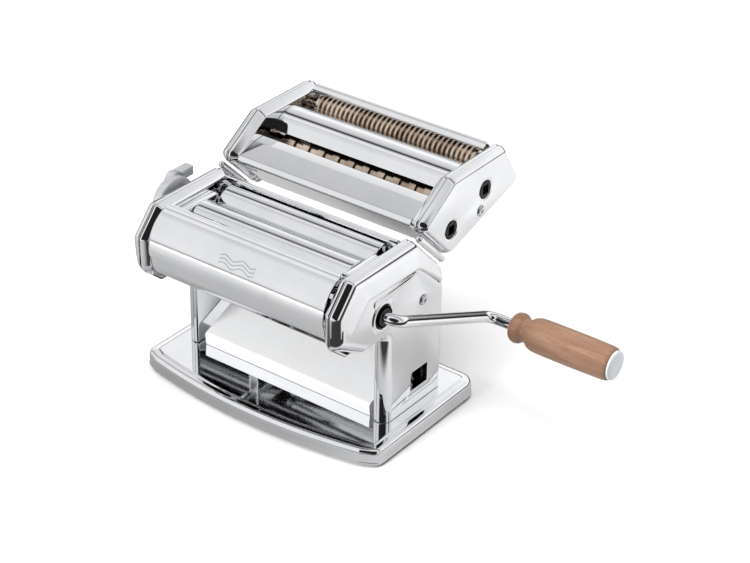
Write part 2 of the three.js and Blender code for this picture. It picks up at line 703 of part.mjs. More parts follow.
function wideCutter(axis, shift) {
  const profile = [[-75.6, 0], [-75.6, JOURNAL_RADIUS], [-CUTTER_HALF_LENGTH, JOURNAL_RADIUS]];
  const halfRing = WIDE_PITCH / 4 - GAP;
  const span = CUTTER_HALF_LENGTH - halfRing;
  profile.push([-CUTTER_HALF_LENGTH, CUTTER_ROOT]);
  for (let x = -WIDE_PITCH * 5 + shift; x <= span; x += WIDE_PITCH) {
    if (x < -span) continue;
    profile.push([x - halfRing, CUTTER_ROOT], [x - halfRing, CUTTER_RADIUS]);
    profile.push([x + halfRing, CUTTER_RADIUS], [x + halfRing, CUTTER_ROOT]);
  }
  profile.push([CUTTER_HALF_LENGTH, CUTTER_ROOT], [CUTTER_HALF_LENGTH, JOURNAL_RADIUS]);
  return turned(axis, [...profile, [81.2, JOURNAL_RADIUS], [81.2, 0]], 8);
}

function cutterGear(axis, side, second) {
  const phase = CUTTER_TILT + (second ? Math.PI + Math.PI / CUTTER_TEETH : 0);
  const teeth = gear(axis, CUTTER_TEETH, CUTTER_MODULE, phase, [76.2, 80.2], JOURNAL_RADIUS + GAP);
  return onSide(side, teeth);
}

// The square mouth for the crank, on the end of each driven cutter.
function crankSocket(axis) {
  const body = turned(axis, [[81.5, 0], [81.5, 6.2], [87.2, 6.2], [87.2, 0]], 16);
  return cut(body, squareSocket(axis, SQUARE_END / 2 + GAP, [82.4, 89]));
}

// A comb of short fingers below a driven cutter lifts the noodles out of its grooves.
function comb([y, z], pitch) {
  const span = CUTTER_HALF_LENGTH - 2;
  const count = Math.floor((2 * span) / pitch);
  const first = (-count * pitch) / 2;
  const edge = [];
  for (let i = 0; i < count; i += 1) {
    const x = first + i * pitch;
    const [start, end] = [x + pitch * 0.25, x + pitch * 0.75];
    edge.push([start, 3.5], [start, 0], [end, 0], [end, 3.5]);
  }
  const outline = [[span + 2, 3.5], [span + 2, 8], [-span - 2, 8], [-span - 2, 3.5], ...edge];
  const geometry = new THREE.ExtrudeGeometry(shapeOf(outline), { depth: 1, bevelEnabled: false });
  const lean = THREE.MathUtils.degToRad(-75);
  return closed(geometry.translate(0, CUTTER_RADIUS + 0.6, 0).rotateX(lean).translate(0, y, z));
}

// ---- Assembly ----------------------------------------------------------------------------------

add("base_tray", baseTray(), chrome);
for (const [place, x, y] of [
  ["front_left", -FOOT.x, FOOT.front],
  ["front_right", FOOT.x, FOOT.front],
  ["rear_left", -FOOT.x, FOOT.rear],
  ["rear_right", FOOT.x, FOOT.rear],
]) {
  add(`rubber_foot_${place}`, rubberFoot(x, y), rubber);
}
add("chute_plate", chutePlate(), chrome);

for (const [name, side] of [["left", -1], ["right", 1]]) {
  add(`side_plate_${name}`, sidePlate(side), chrome);
  add(`side_casing_${name}`, sideCasing(side), chrome);
  add(`casing_screw_${name}`, screw(CASING_SCREW, FACE_X, 74.2, side), springSteel);
  add(`cutter_rail_${name}`, cutterRail(side), chrome);
  add(`dough_guide_${name}`, doughGuide(side), chrome);
  add(`front_bushing_${name}`, frontBushing(side), bronze);
  add(`cutter_plate_${name}`, cutterPlate(side), chrome);
  add(`cutter_casing_${name}`, cutterCasing(side), chrome);
  add(`cutter_screw_${name}`, screw(CUTTER_SCREW, CUTTER_FACE_X, 74.2, side), springSteel);
}
add("front_cover", frontCover(), chrome);
add("rear_cover", rearCover(), chrome);
add("front_scraper", scraper([-41, 107], [-52, 98]), gearSteel);
add("rear_scraper", scraper([12, 107.4], [23, 98]), gearSteel);
add("front_tie_rod", cylinder([-58, 99], 3, [-INNER_HALF_WIDTH, INNER_HALF_WIDTH], 12), springSteel);
add("rear_tie_rod", cylinder([28, 96], 3, [-INNER_HALF_WIDTH, INNER_HALF_WIDTH], 12), springSteel);

add("bearing_block_left", bearingBlockLeft(), bronze);
add("bearing_block_right", bearingBlockRight(), bronze);
add("front_roller", frontRoller(), rollerSteel);
add("front_transfer_gear", knobSideGear(FRONT_AXIS, 0), gearSteel);
add("front_driven_gear", drivenGear(), gearSteel);
add("rear_roller", rearRoller(), rollerSteel);
add("rear_transfer_gear", knobSideGear(REAR_AXIS, Math.PI + Math.PI / TRANSFER_TEETH), gearSteel);
add("drive_pinion", drivePinion(), gearSteel);
add("drive_bushing", driveBushing(), bronze);

add("crank_rod", crankRod(), chrome);
add("wooden_grip", woodenGrip(), beech);
add("grip_end_cap", gripEndCap(), capGrey);

add("thickness_knob", thicknessKnob(), castGrey);
add("dial_spindle", dialSpindle(), springSteel);
add("knob_spring", knobSpring(), springSteel);

add("cutter_rear_cover", cutterRearCover(), chrome);
add("cutter_deck", cutterDeck(), chrome);
add("cutter_front_cover", cutterFrontCover(), chrome);
add("fine_cutter_driven", fineCutter(FINE_AXIS, 0), cutterSteel);
add("fine_cutter_idle", fineCutter(secondAxis(FINE_AXIS), 1), cutterSteel);
add("wide_cutter_driven", wideCutter(WIDE_AXIS, 0), cutterSteel);
add("wide_cutter_idle", wideCutter(secondAxis(WIDE_AXIS), WIDE_PITCH / 2), cutterSteel);
add("fine_gear_driven", cutterGear(FINE_AXIS, -1, false), gearSteel);
add("fine_gear_idle", cutterGear(secondAxis(FINE_AXIS), -1, true), gearSteel);
add("wide_gear_driven", cutterGear(WIDE_AXIS, 1, false), gearSteel);
add("wide_gear_idle", cutterGear(secondAxis(WIDE_AXIS), 1, true), gearSteel);
add("fine_crank_socket", crankSocket(FINE_AXIS), gearSteel);
add("wide_crank_socket", crankSocket(WIDE_AXIS), gearSteel);
add("fine_comb", comb(FINE_AXIS, 2 * FINE_PITCH), gearSteel);
add("wide_comb", comb(WIDE_AXIS, WIDE_PITCH), gearSteel);

// The group's origin is the middle of its bounding box, on the surface that the feet stand on.
const extent = new THREE.Box3().setFromObject(model);
const middle = extent.getCenter(new THREE.Vector3());
model.position.set(-middle.x, -middle.y, -extent.min.z);

export default model;
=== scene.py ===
import math

import bmesh
import bpy
from mathutils import Matrix, Vector

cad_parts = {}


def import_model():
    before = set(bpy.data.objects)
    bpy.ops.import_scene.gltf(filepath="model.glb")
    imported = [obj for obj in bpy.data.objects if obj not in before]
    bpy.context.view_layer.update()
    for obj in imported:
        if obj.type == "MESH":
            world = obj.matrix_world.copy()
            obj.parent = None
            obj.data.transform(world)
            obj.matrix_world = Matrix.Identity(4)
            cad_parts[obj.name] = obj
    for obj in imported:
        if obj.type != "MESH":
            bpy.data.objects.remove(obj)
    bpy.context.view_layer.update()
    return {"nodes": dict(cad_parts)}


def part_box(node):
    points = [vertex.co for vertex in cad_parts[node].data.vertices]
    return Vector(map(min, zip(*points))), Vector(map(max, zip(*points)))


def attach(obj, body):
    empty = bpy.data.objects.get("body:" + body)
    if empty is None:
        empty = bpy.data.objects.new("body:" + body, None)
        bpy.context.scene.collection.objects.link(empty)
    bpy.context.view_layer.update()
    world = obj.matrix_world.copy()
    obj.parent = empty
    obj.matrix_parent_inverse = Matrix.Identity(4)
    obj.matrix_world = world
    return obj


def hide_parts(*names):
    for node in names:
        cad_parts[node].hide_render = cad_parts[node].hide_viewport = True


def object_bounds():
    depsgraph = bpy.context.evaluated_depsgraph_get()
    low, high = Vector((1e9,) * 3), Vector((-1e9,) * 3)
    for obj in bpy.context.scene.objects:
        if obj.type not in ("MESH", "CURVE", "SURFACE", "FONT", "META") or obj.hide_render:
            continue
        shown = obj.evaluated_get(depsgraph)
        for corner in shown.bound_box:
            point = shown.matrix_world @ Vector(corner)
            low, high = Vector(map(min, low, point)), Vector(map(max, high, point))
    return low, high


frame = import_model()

# ---- Frame ----
# Pieces are drawn in millimetres from the machine's own origin: the middle of the tray across, the
# rear roller's axis fore and aft, and the lower edge of the tray in height.

tray_low, tray_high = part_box("base_tray")
roller_low, roller_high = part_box("rear_roller")
ORIGIN = Vector((
    (tray_low[0] + tray_high[0]) / 2,
    (roller_low[1] + roller_high[1]) / 2,
    tray_low[2],
))
MM = 0.001


def to_row(point):
    return ORIGIN + Vector(point) * MM


def machine_box(node):
    """A node's box in machine millimetres."""
    low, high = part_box(node)
    return (Vector(low) - ORIGIN) / MM, (Vector(high) - ORIGIN) / MM


# ---- Materials ----

MATERIALS = {}


class Tree:
    """A node tree, with short calls for the nodes that the finishes and the studio share."""

    def __init__(self, tree):
        self.tree = tree

    def add(self, kind, **settings):
        node = self.tree.nodes.new(kind)
        for key, value in settings.items():
            setattr(node, key, value)
        return node

    def link(self, source, target):
        self.tree.links.new(source, target)

    def dot(self, vector, direction):
        node = self.add("ShaderNodeVectorMath", operation="DOT_PRODUCT")
        self.link(vector, node.inputs[0])
        node.inputs[1].default_value = direction
        return node.outputs["Value"]

    def calculate(self, operation, *values):
        node = self.add("ShaderNodeMath", operation=operation)
        for value, socket in zip(values, node.inputs):
            self.link(value, socket)
        return node.outputs[0]

    def remap(self, value, source, target=(0.0, 1.0), kind="LINEAR"):
        node = self.add("ShaderNodeMapRange", interpolation_type=kind)
        node.inputs["From Min"].default_value, node.inputs["From Max"].default_value = source
        node.inputs["To Min"].default_value, node.inputs["To Max"].default_value = target
        self.link(value, node.inputs["Value"])
        return node.outputs["Result"]

    def ramp(self, value, stops, smooth=False):
        node = self.add("ShaderNodeValToRGB")
        node.color_ramp.interpolation = "EASE" if smooth else "LINEAR"
        elements = node.color_ramp.elements
        while len(elements) < len(stops):
            elements.new(0.5)
        for element, (position, color) in zip(elements, stops):
            element.position = position
            element.color = (*color, 1) if isinstance(color, tuple) else (color, color, color, 1)
        self.link(value, node.inputs["Fac"])
        return node.outputs["Color"]


class Nodes(Tree):
    """A material's node tree."""

    def __init__(self, name):
        self.material = bpy.data.materials.new(name)
        self.material.use_nodes = True
        super().__init__(self.material.node_tree)
        self.shader = self.tree.nodes["Principled BSDF"]
        self.place = self.add("ShaderNodeTexCoord").outputs["Object"]
        MATERIALS[name] = self.material

    def stretch(self, scale, turn=(0, 0, 0)):
        node = self.add("ShaderNodeMapping")
        node.inputs["Scale"].default_value = scale
        node.inputs["Rotation"].default_value = turn
        self.link(self.place, node.inputs["Vector"])
        return node.outputs["Vector"]

    def noise(self, scale, detail=3.0, rough=0.5, where=None, distortion=0.0):
        node = self.add("ShaderNodeTexNoise")
        node.inputs["Scale"].default_value = scale
        node.inputs["Detail"].default_value = detail
        node.inputs["Roughness"].default_value = rough
        node.inputs["Distortion"].default_value = distortion
        self.link(where or self.place, node.inputs["Vector"])
        return node.outputs["Fac"]

    def span(self, value, low, high):
        return self.remap(value, (0, 1), (low, high))

    def mix(self, factor, first, second, mode="MIX"):
        node = self.add("ShaderNodeMix", data_type="RGBA", blend_type=mode)
        for value, number in ((factor, 0), (first, 6), (second, 7)):
            socket = node.inputs[number]
            if hasattr(value, "is_linked"):
                self.link(value, socket)
            else:
                socket.default_value = value if isinstance(value, float) else (*value, 1)
        return node.outputs[2]

    def bump(self, height, strength, distance, below=None):
        node = self.add("ShaderNodeBump")
        node.inputs["Strength"].default_value = strength
        node.inputs["Distance"].default_value = distance
        self.link(height, node.inputs["Height"])
        if below:
            self.link(below, node.inputs["Normal"])
        return node.outputs["Normal"]

    def set(self, **values):
        for key, value in values.items():
            socket = self.shader.inputs[key.replace("_", " ")]
            if hasattr(value, "is_linked"):
                self.link(value, socket)
            else:
                socket.default_value = (*value, 1) if isinstance(value, tuple) else value


def metal(name, light, dark, rough, wave=0.00001, grain=None, smudge=0.04):
    """A plated or cut metal: soft stains, hairlines and a slightly uneven surface."""
    look = Nodes(name)
    stains = look.noise(38, 4, 0.55, distortion=0.6)
    look.set(Base_Color=look.mix(look.ramp(stains, [(0.35, 0.0), (0.7, 1.0)]), light, dark), Metallic=1.0)
    hair = look.noise(900, 2, 0.6, where=look.stretch((0.06, 1, 1)))
    mix = look.add("ShaderNodeMath", operation="MULTIPLY_ADD")
    look.link(look.ramp(hair, [(0.5, 0.0), (0.78, 1.0)]), mix.inputs[0])
    mix.inputs[1].default_value = smudge
    look.link(look.span(stains, rough[0], rough[1]), mix.inputs[2])
    look.set(Roughness=mix.outputs[0])
    normal = look.bump(look.noise(70, 2, 0.4), 0.5, wave)
    if grain:
        lines = look.noise(grain[0], 2, 0.6, where=look.stretch(grain[1]))
        normal = look.bump(lines, 0.35, grain[2], below=normal)
    look.set(Normal=normal)
    return look


metal("chrome_sheet", (0.86, 0.865, 0.875), (0.80, 0.81, 0.825), (0.03, 0.06), smudge=0.04)
metal("roller_chrome", (0.82, 0.825, 0.835), (0.74, 0.75, 0.77), (0.06, 0.11), wave=0.000003,
      grain=(420, (0.02, 1, 1), 0.000003), smudge=0.05)
metal("cutter_warm", (0.80, 0.69, 0.58), (0.30, 0.21, 0.15), (0.14, 0.28), wave=0.000004,
      grain=(700, (1, 0.12, 0.12), 0.00001), smudge=0.08)
metal("gear_steel", (0.50, 0.51, 0.525), (0.34, 0.34, 0.35), (0.3, 0.45),
      grain=(600, (0.1, 1, 1), 0.00002), smudge=0.1)
metal("bright_steel", (0.66, 0.67, 0.69), (0.54, 0.55, 0.57), (0.16, 0.26),
      grain=(800, (1, 0.2, 0.2), 0.00001), smudge=0.08)
# Near-black steel: painted shade for the crank hole, the cutters' crank sockets and the scrapers between
# the rollers.
metal("painted_shade_steel", (0.035, 0.035, 0.037), (0.012, 0.012, 0.013), (0.24, 0.4),
      grain=(700, (0.2, 1, 1), 0.00001), smudge=0.1)
metal("bronze", (0.42, 0.32, 0.21), (0.26, 0.18, 0.11), (0.28, 0.42),
      grain=(900, (0.3, 1, 1), 0.00002), smudge=0.1)


def satin_sheet():
    """The chute's plate: rolled bright sheet, with fine lines down its slope."""
    look = Nodes("satin_sheet")
    stains = look.noise(24, 4, 0.55, distortion=0.5)
    lines = look.noise(900, 3, 0.65, where=look.stretch((1, 0.04, 0.04)))
    tone = look.ramp(stains, [(0.3, (0.86, 0.865, 0.87)), (0.75, (0.91, 0.915, 0.92))])
    look.set(Base_Color=tone, Metallic=0.12)
    look.set(Roughness=look.span(lines, 0.3, 0.48), Normal=look.bump(lines, 0.25, 0.00001))


def beech():
    look = Nodes("beech")
    along = look.stretch((9, 60, 60))
    broad = look.noise(3.2, 4, 0.55, where=along, distortion=0.8)
    woods = [(0.3, (0.22, 0.125, 0.078)), (0.55, (0.31, 0.185, 0.12)), (0.78, (0.41, 0.26, 0.175))]
    tone = look.ramp(broad, woods)
    fibre = look.noise(30, 4, 0.7, where=look.stretch((9, 110, 110)))
    tone = look.mix(look.ramp(fibre, [(0.42, 0.0), (0.62, 0.38)]), tone, (0.30, 0.11, 0.052))
    fleck = look.add("ShaderNodeTexVoronoi", feature="F1")
    fleck.inputs["Scale"].default_value = 1.0
    look.link(look.stretch((190, 1150, 1150)), fleck.inputs["Vector"])
    spots = look.ramp(fleck.outputs["Distance"], [(0.10, 1.0), (0.24, 0.0)])
    tone = look.mix(look.mix(0.62, (0.0, 0.0, 0.0), spots), tone, (0.17, 0.055, 0.026))
    look.set(Base_Color=tone, Roughness=look.span(fibre, 0.36, 0.56), Coat_Weight=0.12, Coat_Roughness=0.3)
    normal = look.bump(fibre, 0.35, 0.00012)
    look.set(Normal=look.bump(spots, -0.5, 0.00006, below=normal))


def cast_grey():
    look = Nodes("cast_grey")
    cloud = look.noise(60, 4, 0.6)
    tone = look.ramp(cloud, [(0.3, (0.42, 0.43, 0.45)), (0.72, (0.56, 0.57, 0.59))])
    look.set(Base_Color=tone, Metallic=0.55, Roughness=look.span(look.noise(240, 3), 0.3, 0.52))
    look.set(Normal=look.bump(look.noise(1600, 2, 0.7), 0.35, 0.00004))


def cap_grey():
    look = Nodes("cap_grey")
    cloud = look.noise(90, 3)
    tone = look.ramp(cloud, [(0.25, (0.82, 0.84, 0.87)), (0.8, (0.88, 0.90, 0.92))])
    look.set(Base_Color=tone, Metallic=0.2, Coat_Weight=0.3)
    look.set(Roughness=look.span(look.noise(300, 3), 0.25, 0.36))
    look.set(Normal=look.bump(look.noise(500, 2), 0.2, 0.00002))


def rubber():
    look = Nodes("rubber")
    look.set(Base_Color=look.ramp(look.noise(120, 3), [(0.3, 0.012), (0.8, 0.035)]))
    look.set(Roughness=look.span(look.noise(400, 2), 0.62, 0.85))
    look.set(Normal=look.bump(look.noise(1800, 2), 0.4, 0.00005))


def ink():
    look = Nodes("dial_ink")
    look.set(Base_Color=look.ramp(look.noise(700, 2), [(0.3, 0.02), (0.8, 0.05)]))
    look.set(Roughness=look.span(look.noise(500, 2), 0.45, 0.6))


def etched():
    look = metal("etched_mark", (0.62, 0.63, 0.65), (0.5, 0.51, 0.53), (0.32, 0.45), smudge=0.06)
    look.set(Normal=look.bump(look.noise(3000, 2, 0.7), 0.4, 0.00002))


satin_sheet()
beech()
cast_grey()
cap_grey()
rubber()
ink()
etched()

# ---- Outlines ----


def offset_corners(corners, insets):
    """The corners of a counter-clockwise outline after each edge has moved inwards by its own inset."""
    count = len(corners)
    lines = []
    for i in range(count):
        start = Vector(corners[i][:2])
        along = (Vector(corners[(i + 1) % count][:2]) - start).normalized()
        lines.append((start + Vector((-along.y, along.x)) * insets[i], along))
    moved = []
    for i in range(count):
        (first, along), (second, on) = lines[i - 1], lines[i]
        cross = along.x * on.y - along.y * on.x
        if abs(cross) < 1e-6:
            moved.append(second)
            continue
        gap = second - first
        moved.append(first + along * ((gap.x * on.y - gap.y * on.x) / cross))
    return moved


def swept(centre, spoke, sweep, steps):
    """The arc that the spoke's end draws round the centre."""
    line = []
    for k in range(steps + 1):
        cosine, sine = math.cos(sweep * k / steps), math.sin(sweep * k / steps)
        turned = (spoke.x * cosine - spoke.y * sine, spoke.x * sine + spoke.y * cosine)
        line.append(centre + Vector(turned))
    return line


def rounded(corners, insets, steps):
    """The rounded outline of corners (u, v, radius). Its count never depends on the insets."""
    count = len(corners)
    if isinstance(insets, (int, float)):
        insets = [insets] * count
    points = offset_corners(corners, insets)
    outline = []
    for i, corner in enumerate(points):
        back = (points[i - 1] - corner).normalized()
        on = (points[(i + 1) % count] - corner).normalized()
        half = math.acos(max(-1.0, min(1.0, back.dot(on)))) / 2
        convex = back.x * on.y - back.y * on.x < 0
        inset = (insets[i - 1] + insets[i]) / 2
        radius = max(corners[i][2] + (-inset if convex else inset), 0.25)
        centre = corner + (back + on).normalized() * (radius / math.sin(half))
        start = corner + back * (radius / math.tan(half)) - centre
        sweep = (1 if convex else -1) * (math.pi - 2 * half)
        outline += swept(centre, start, sweep, steps)
    return outline


def circle(centre, radius, sides=40):
    return [
        Vector((
            centre[0] + radius * math.cos(2 * math.pi * k / sides),
            centre[1] + radius * math.sin(2 * math.pi * k / sides),
        ))
        for k in range(sides)
    ]


def arc(centre, radius, start, end, steps):
    return [
        (
            centre[0] + radius * math.cos(math.radians(start + (end - start) * k / steps)),
            centre[1] + radius * math.sin(math.radians(start + (end - start) * k / steps)),
        )
        for k in range(steps + 1)
    ]


def filleted(points, steps):
    """An open line with its inner corners rounded. A point is (u, v) or (u, v, radius)."""
    line = [Vector(points[0][:2])]
    for before, corner, after in zip(points, points[1:], points[2:]):
        radius = corner[2] if len(corner) > 2 else 0
        here = Vector(corner[:2])
        back = (Vector(before[:2]) - here).normalized()
        on = (Vector(after[:2]) - here).normalized()
        half = math.acos(max(-1.0, min(1.0, back.dot(on)))) / 2
        if radius <= 0 or half > 1.55:
            line.append(here)
            continue
        reach = radius / math.tan(half)
        centre = here + (back + on).normalized() * (radius / math.sin(half))
        start = here + back * reach - centre
        turn = math.pi - 2 * half
        if back.x * on.y - back.y * on.x > 0:
            turn = -turn
        line += swept(centre, start, turn, steps)
    line.append(Vector(points[-1][:2]))
    return line


# ---- Meshes ----


def put(item):
    bpy.context.scene.collection.objects.link(item)


class Shell:
    """A mesh drawn in machine millimetres, ring by ring."""

    def __init__(self):
        self.bm = bmesh.new()

    def ring(self, points):
        return [self.bm.verts.new(point) for point in points]

    def side_ring(self, outline, x):
        return self.ring([(x, point[0], point[1]) for point in outline])

    def band(self, first, second, loop=True):
        count = len(first)
        for i in range(count if loop else count - 1):
            j = (i + 1) % count
            self.bm.faces.new((first[i], first[j], second[j], second[i]))

    def skin(self, rings):
        for first, second in zip(rings, rings[1:]):
            self.band(first, second)

    def fan(self, ring, point):
        tip = self.bm.verts.new(point)
        for i, vert in enumerate(ring):
            self.bm.faces.new((vert, ring[(i + 1) % len(ring)], tip))

    def fill(self, *rings):
        edges = []
        for ring in rings:
            for i, vert in enumerate(ring):
                after = ring[(i + 1) % len(ring)]
                edges.append(self.bm.edges.get((vert, after)) or self.bm.edges.new((vert, after)))
        bmesh.ops.triangle_fill(self.bm, use_beauty=True, use_dissolve=False, edges=edges)

    def block(self, rings):
        """Skins the rings and fills both ends."""
        self.skin(rings)
        self.fill(rings[0])
        self.fill(rings[-1])

    def holes(self, holes):
        """Skins each hole's rings. Gives the first ring and the last ring of every hole."""
        mouths, floors = [], []
        for hole in holes:
            made = [self.side_ring(outline, x) for outline, x in hole]
            self.skin(made)
            mouths.append(made[0])
            floors.append(made[-1])
        return mouths, floors

    def finish(self, name, body, material, nodes=(), sharp=32, side=1):
        """Makes the piece. On side -1 it is mirrored to the knob side first."""
        for vert in self.bm.verts:
            vert.co.x *= side
        bmesh.ops.recalc_face_normals(self.bm, faces=self.bm.faces)
        for vert in self.bm.verts:
            vert.co = to_row(vert.co)
        mesh = bpy.data.meshes.new(name)
        self.bm.to_mesh(mesh)
        self.bm.free()
        mesh.materials.append(MATERIALS[material])
        piece = bpy.data.objects.new(name, mesh)
        put(piece)
        mesh.shade_smooth()
        mesh.set_sharp_from_angle(angle=math.radians(sharp))
        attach(piece, body)
        if nodes:
            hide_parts(*nodes)
        return piece

    def chrome(self, name, body, node, sharp=36, side=1):
        return self.finish(name, body, "chrome_sheet", [node], sharp, side)


def depth_profile(x, face, start, radius):
    """How far an edge rounded with this radius has drawn in at this distance from the face."""
    toward = 1 if face > start else -1
    reach = radius - (face - x) * toward
    if reach <= 0:
        return 0.0
    return radius - math.sqrt(max(radius * radius - reach * reach, 0.0))


def pan(shell, corners, radii, start, face, thickness, levels, holes=(), extras=None, steps=8):
    """A pressed pan: walls from start to face, each edge of the face rounded with its own radius.

    The extras are further insets of the edges. A hole is a list of (outline, x) rings from its mouth
    on the face to its end."""
    toward = 1 if face > start else -1
    widest = max(radii)
    extras = extras or [0.0] * len(corners)

    def rings(inset, reach):
        result = [shell.side_ring(rounded(corners, [inset + more for more in extras], steps), start)]
        for k in range(levels + 1):
            x = reach - toward * widest * (1 - math.sin(math.pi / 2 * k / levels))
            if (x - start) * toward <= 0.01:
                continue
            drawn = [
                inset + more + depth_profile(x, reach, start, radius)
                for radius, more in zip(radii, extras)
            ]
            result.append(shell.side_ring(rounded(corners, drawn, steps), x))
        last = [inset + more + radius + 0.35 for radius, more in zip(radii, extras)]
        result.append(shell.side_ring(rounded(corners, last, steps), reach))
        return result

    outside = rings(0.0, face)
    shell.skin(outside)
    mouths, floors = shell.holes(holes)
    shell.fill(outside[-1], *mouths)
    if thickness:
        inside = rings(thickness, face - toward * thickness)
        shell.skin(inside)
        shell.fill(inside[-1], *floors)
        shell.band(outside[0], inside[0])


def pressed(shell, corners, profile, holes, thickness, steps=8):
    """A pressed shape given by its profile: (x, inset) steps from its open edge to its face."""
    toward = 1 if profile[-1][0] > profile[0][0] else -1
    outside = [shell.side_ring(rounded(corners, inset, steps), x) for x, inset in profile]
    shell.skin(outside)
    deepest = profile[-1][0] * toward - thickness
    inside = [
        shell.side_ring(rounded(corners, inset + thickness, steps), min(x * toward, deepest) * toward)
        for x, inset in profile[:-1]
    ]
    mouths, floors = shell.holes(holes)
    shell.fill(outside[-1], *mouths)
    shell.skin(inside)
    shell.fill(inside[-1], *floors)
    shell.band(outside[0], inside[0])


def round_hole(centre, radius, face, thickness, toward=1, sides=48):
    """A hole through a pan's face with a slightly drawn-in edge."""
    steps = [(0.35, 0.0), (0.12, 0.1), (0.0, 0.35), (0.0, thickness)]
    return [(circle(centre, radius + more, sides), face - toward * depth) for more, depth in steps]


def offset_line(line, thickness):
    moved = []
    for i, point in enumerate(line):
        before = (point - line[i - 1]).normalized() if i else None
        after = (line[i + 1] - point).normalized() if i + 1 < len(line) else None
        first, second = before or after, after or before
        scale = thickness / (1 + first.dot(second))
        moved.append(point + Vector((-(first.y + second.y), first.x + second.x)) * scale)
    return moved


def sheet(shell, line, half_width):
    """A bent sheet whose section is the line, with the thickness on the line's left."""
    line = [Vector(point[:2]) for point in line]
    other = offset_line(line, SHEET)
    crown = 0.3 * SHEET
    start = line[0] + (other[0] - line[0]) / 2 + (line[0] - line[1]).normalized() * crown
    end = line[-1] + (other[-1] - line[-1]) / 2 + (line[-1] - line[-2]).normalized() * crown
    section = [start, *line, end, *reversed(other)]
    shell.block([shell.side_ring(section, x) for x in (-half_width, half_width)])


def raised(shell, corners, steps, smooth):
    """A solid block, given by the (x, inset) steps of its outline."""
    shell.block([shell.side_ring(rounded(corners, inset, smooth), x) for x, inset in steps])


def lathe(shell, centre, profile, sides=64, axis="X"):
    """A turned piece. The profile lists (position along the axis, radius). Radius 0 is on the axis."""

    def place(along, u=0.0, v=0.0):
        across = (centre[0] + u, centre[1] + v)
        return (along, *across) if axis == "X" else (*across, along)

    rings = []
    for along, radius in profile:
        turns = [2 * math.pi * k / sides for k in range(sides)]
        points = [place(along, radius * math.cos(turn), radius * math.sin(turn)) for turn in turns]
        rings.append(shell.ring(points) if radius > 1e-6 else None)
    for i in range(len(profile) - 1):
        first, second = rings[i], rings[i + 1]
        if first and second:
            shell.band(first, second)
        else:
            shell.fan(first or second, place(profile[i + 1][0] if first else profile[i][0]))


# ---- Sizes ----

# X of the crank side's sheets: where plate and casing meet, the plate's web, the leg's web, and the
# casing's field. The covers reach out to INNER.
SEAM_X = 80.3
WEB_X = 73.7
LEG_WEB_X = 77.35
FIELD_X = 87.6
INNER = WEB_X - 0.3
SHEET = 1.2
THIN_SHEET = 0.6
ROD_RADIUS = 4
# The cutters: half the length of their ringed part, and the radius of the rings.
CUTTER_HALF = 68
CUTTER_TOP = 10.4
# Places in the side view, as (y, z).
NOSE_CENTRE = (-46.5, 111.5)
NOSE_RADIUS = 27
FRONT_AXIS = (-28.5, 119)
REAR_AXIS = (0, 119)
DRIVE_AXIS = (-28.5, 100.25)
GRIP_AXIS = (64.6, 63.8)
KNOB_AXIS = (-26.5, 122.5)
CASING_SCREW = (15.7, 92)
CUTTER_SCREW = (80, 131.3)
FINE_AXIS = (85.7, 145)
WIDE_AXIS = (46.8, 130.9)
BAR_TILT = math.radians(52)
CUTTER_TILT = math.radians(20)
CUTTER_SPACING = 20


def second_axis(axis):
    """The axis of the other cutter of a pair."""
    y, z = axis
    return (y + CUTTER_SPACING * math.cos(CUTTER_TILT), z + CUTTER_SPACING * math.sin(CUTTER_TILT))


# Outlines in the side view, as (y, z, radius of the corner).
HOUSING = [
    (-50, 80, 6), (40, 80, 1.6), (40, 106.5, 12), (8, 138.5, 4), (-59, 138.5, 3.5), (-76, 119.6, 5),
    (-75.5, 95, 9),
]
PLATE = [(-57.5, 80, 2.5), *HOUSING[1:]]
LEG = [(-24, 12.3, 1.6), (40, 12.3, 1.6), (40, 92, 1.6), (-24, 92, 1.6)]
# The casing's outline is the housing with its leg, and every edge has its own rounding.
CASING = [(-50, 80, 6), (-24, 80, 3), (-24, 12.3, 0.8), (40, 12.3, 0.8), *HOUSING[2:]]
CASING_EDGES = [6.0, 7.5, 0.5, 3.6, 14.0, 14.0, 14.0, 8.0, 9.0]
# How far the wall is drawn in at each edge, under the shoulder.
CASING_DRAWN = [0.0] * 4 + [1.1] * 3 + [0.0] * 2
# The shoulder is a sloping band between the casing's outline and a crease, from the rear edge over the
# top to the front edge.
SHOULDER_OUTLINE = [(40, 95.5), *HOUSING[2:6], (-75.6, 104.5)]
SHOULDER_CREASE = [
    (34.6, 95.2), (34.9, 97.9, 1.2), (10.6, 118.0, 9), (-44.5, 119.4, 5), (-58.4, 104.0, 3), (-60.2, 101.5),
]
# Its section in (distance, x) steps: the rise is measured from the outline, the fall from the crease.
SHOULDER_RISE = [
    (1.0, 80.6), (0.5, 80.75), (0.2, 81.0), (0.0, 81.5), (0.12, 82.2), (1.0, 84.2), (1.7, 85.3),
    (2.4, 85.95), (3.3, 86.45), (4.4, 86.8), (5.8, 87.02),
]
SHOULDER_FALL = [(-2.4, 88.42), (-1.7, 88.49), (-1.1, 88.44), (-0.5, 88.2), (0.1, 87.85), (0.9, 87.3)]
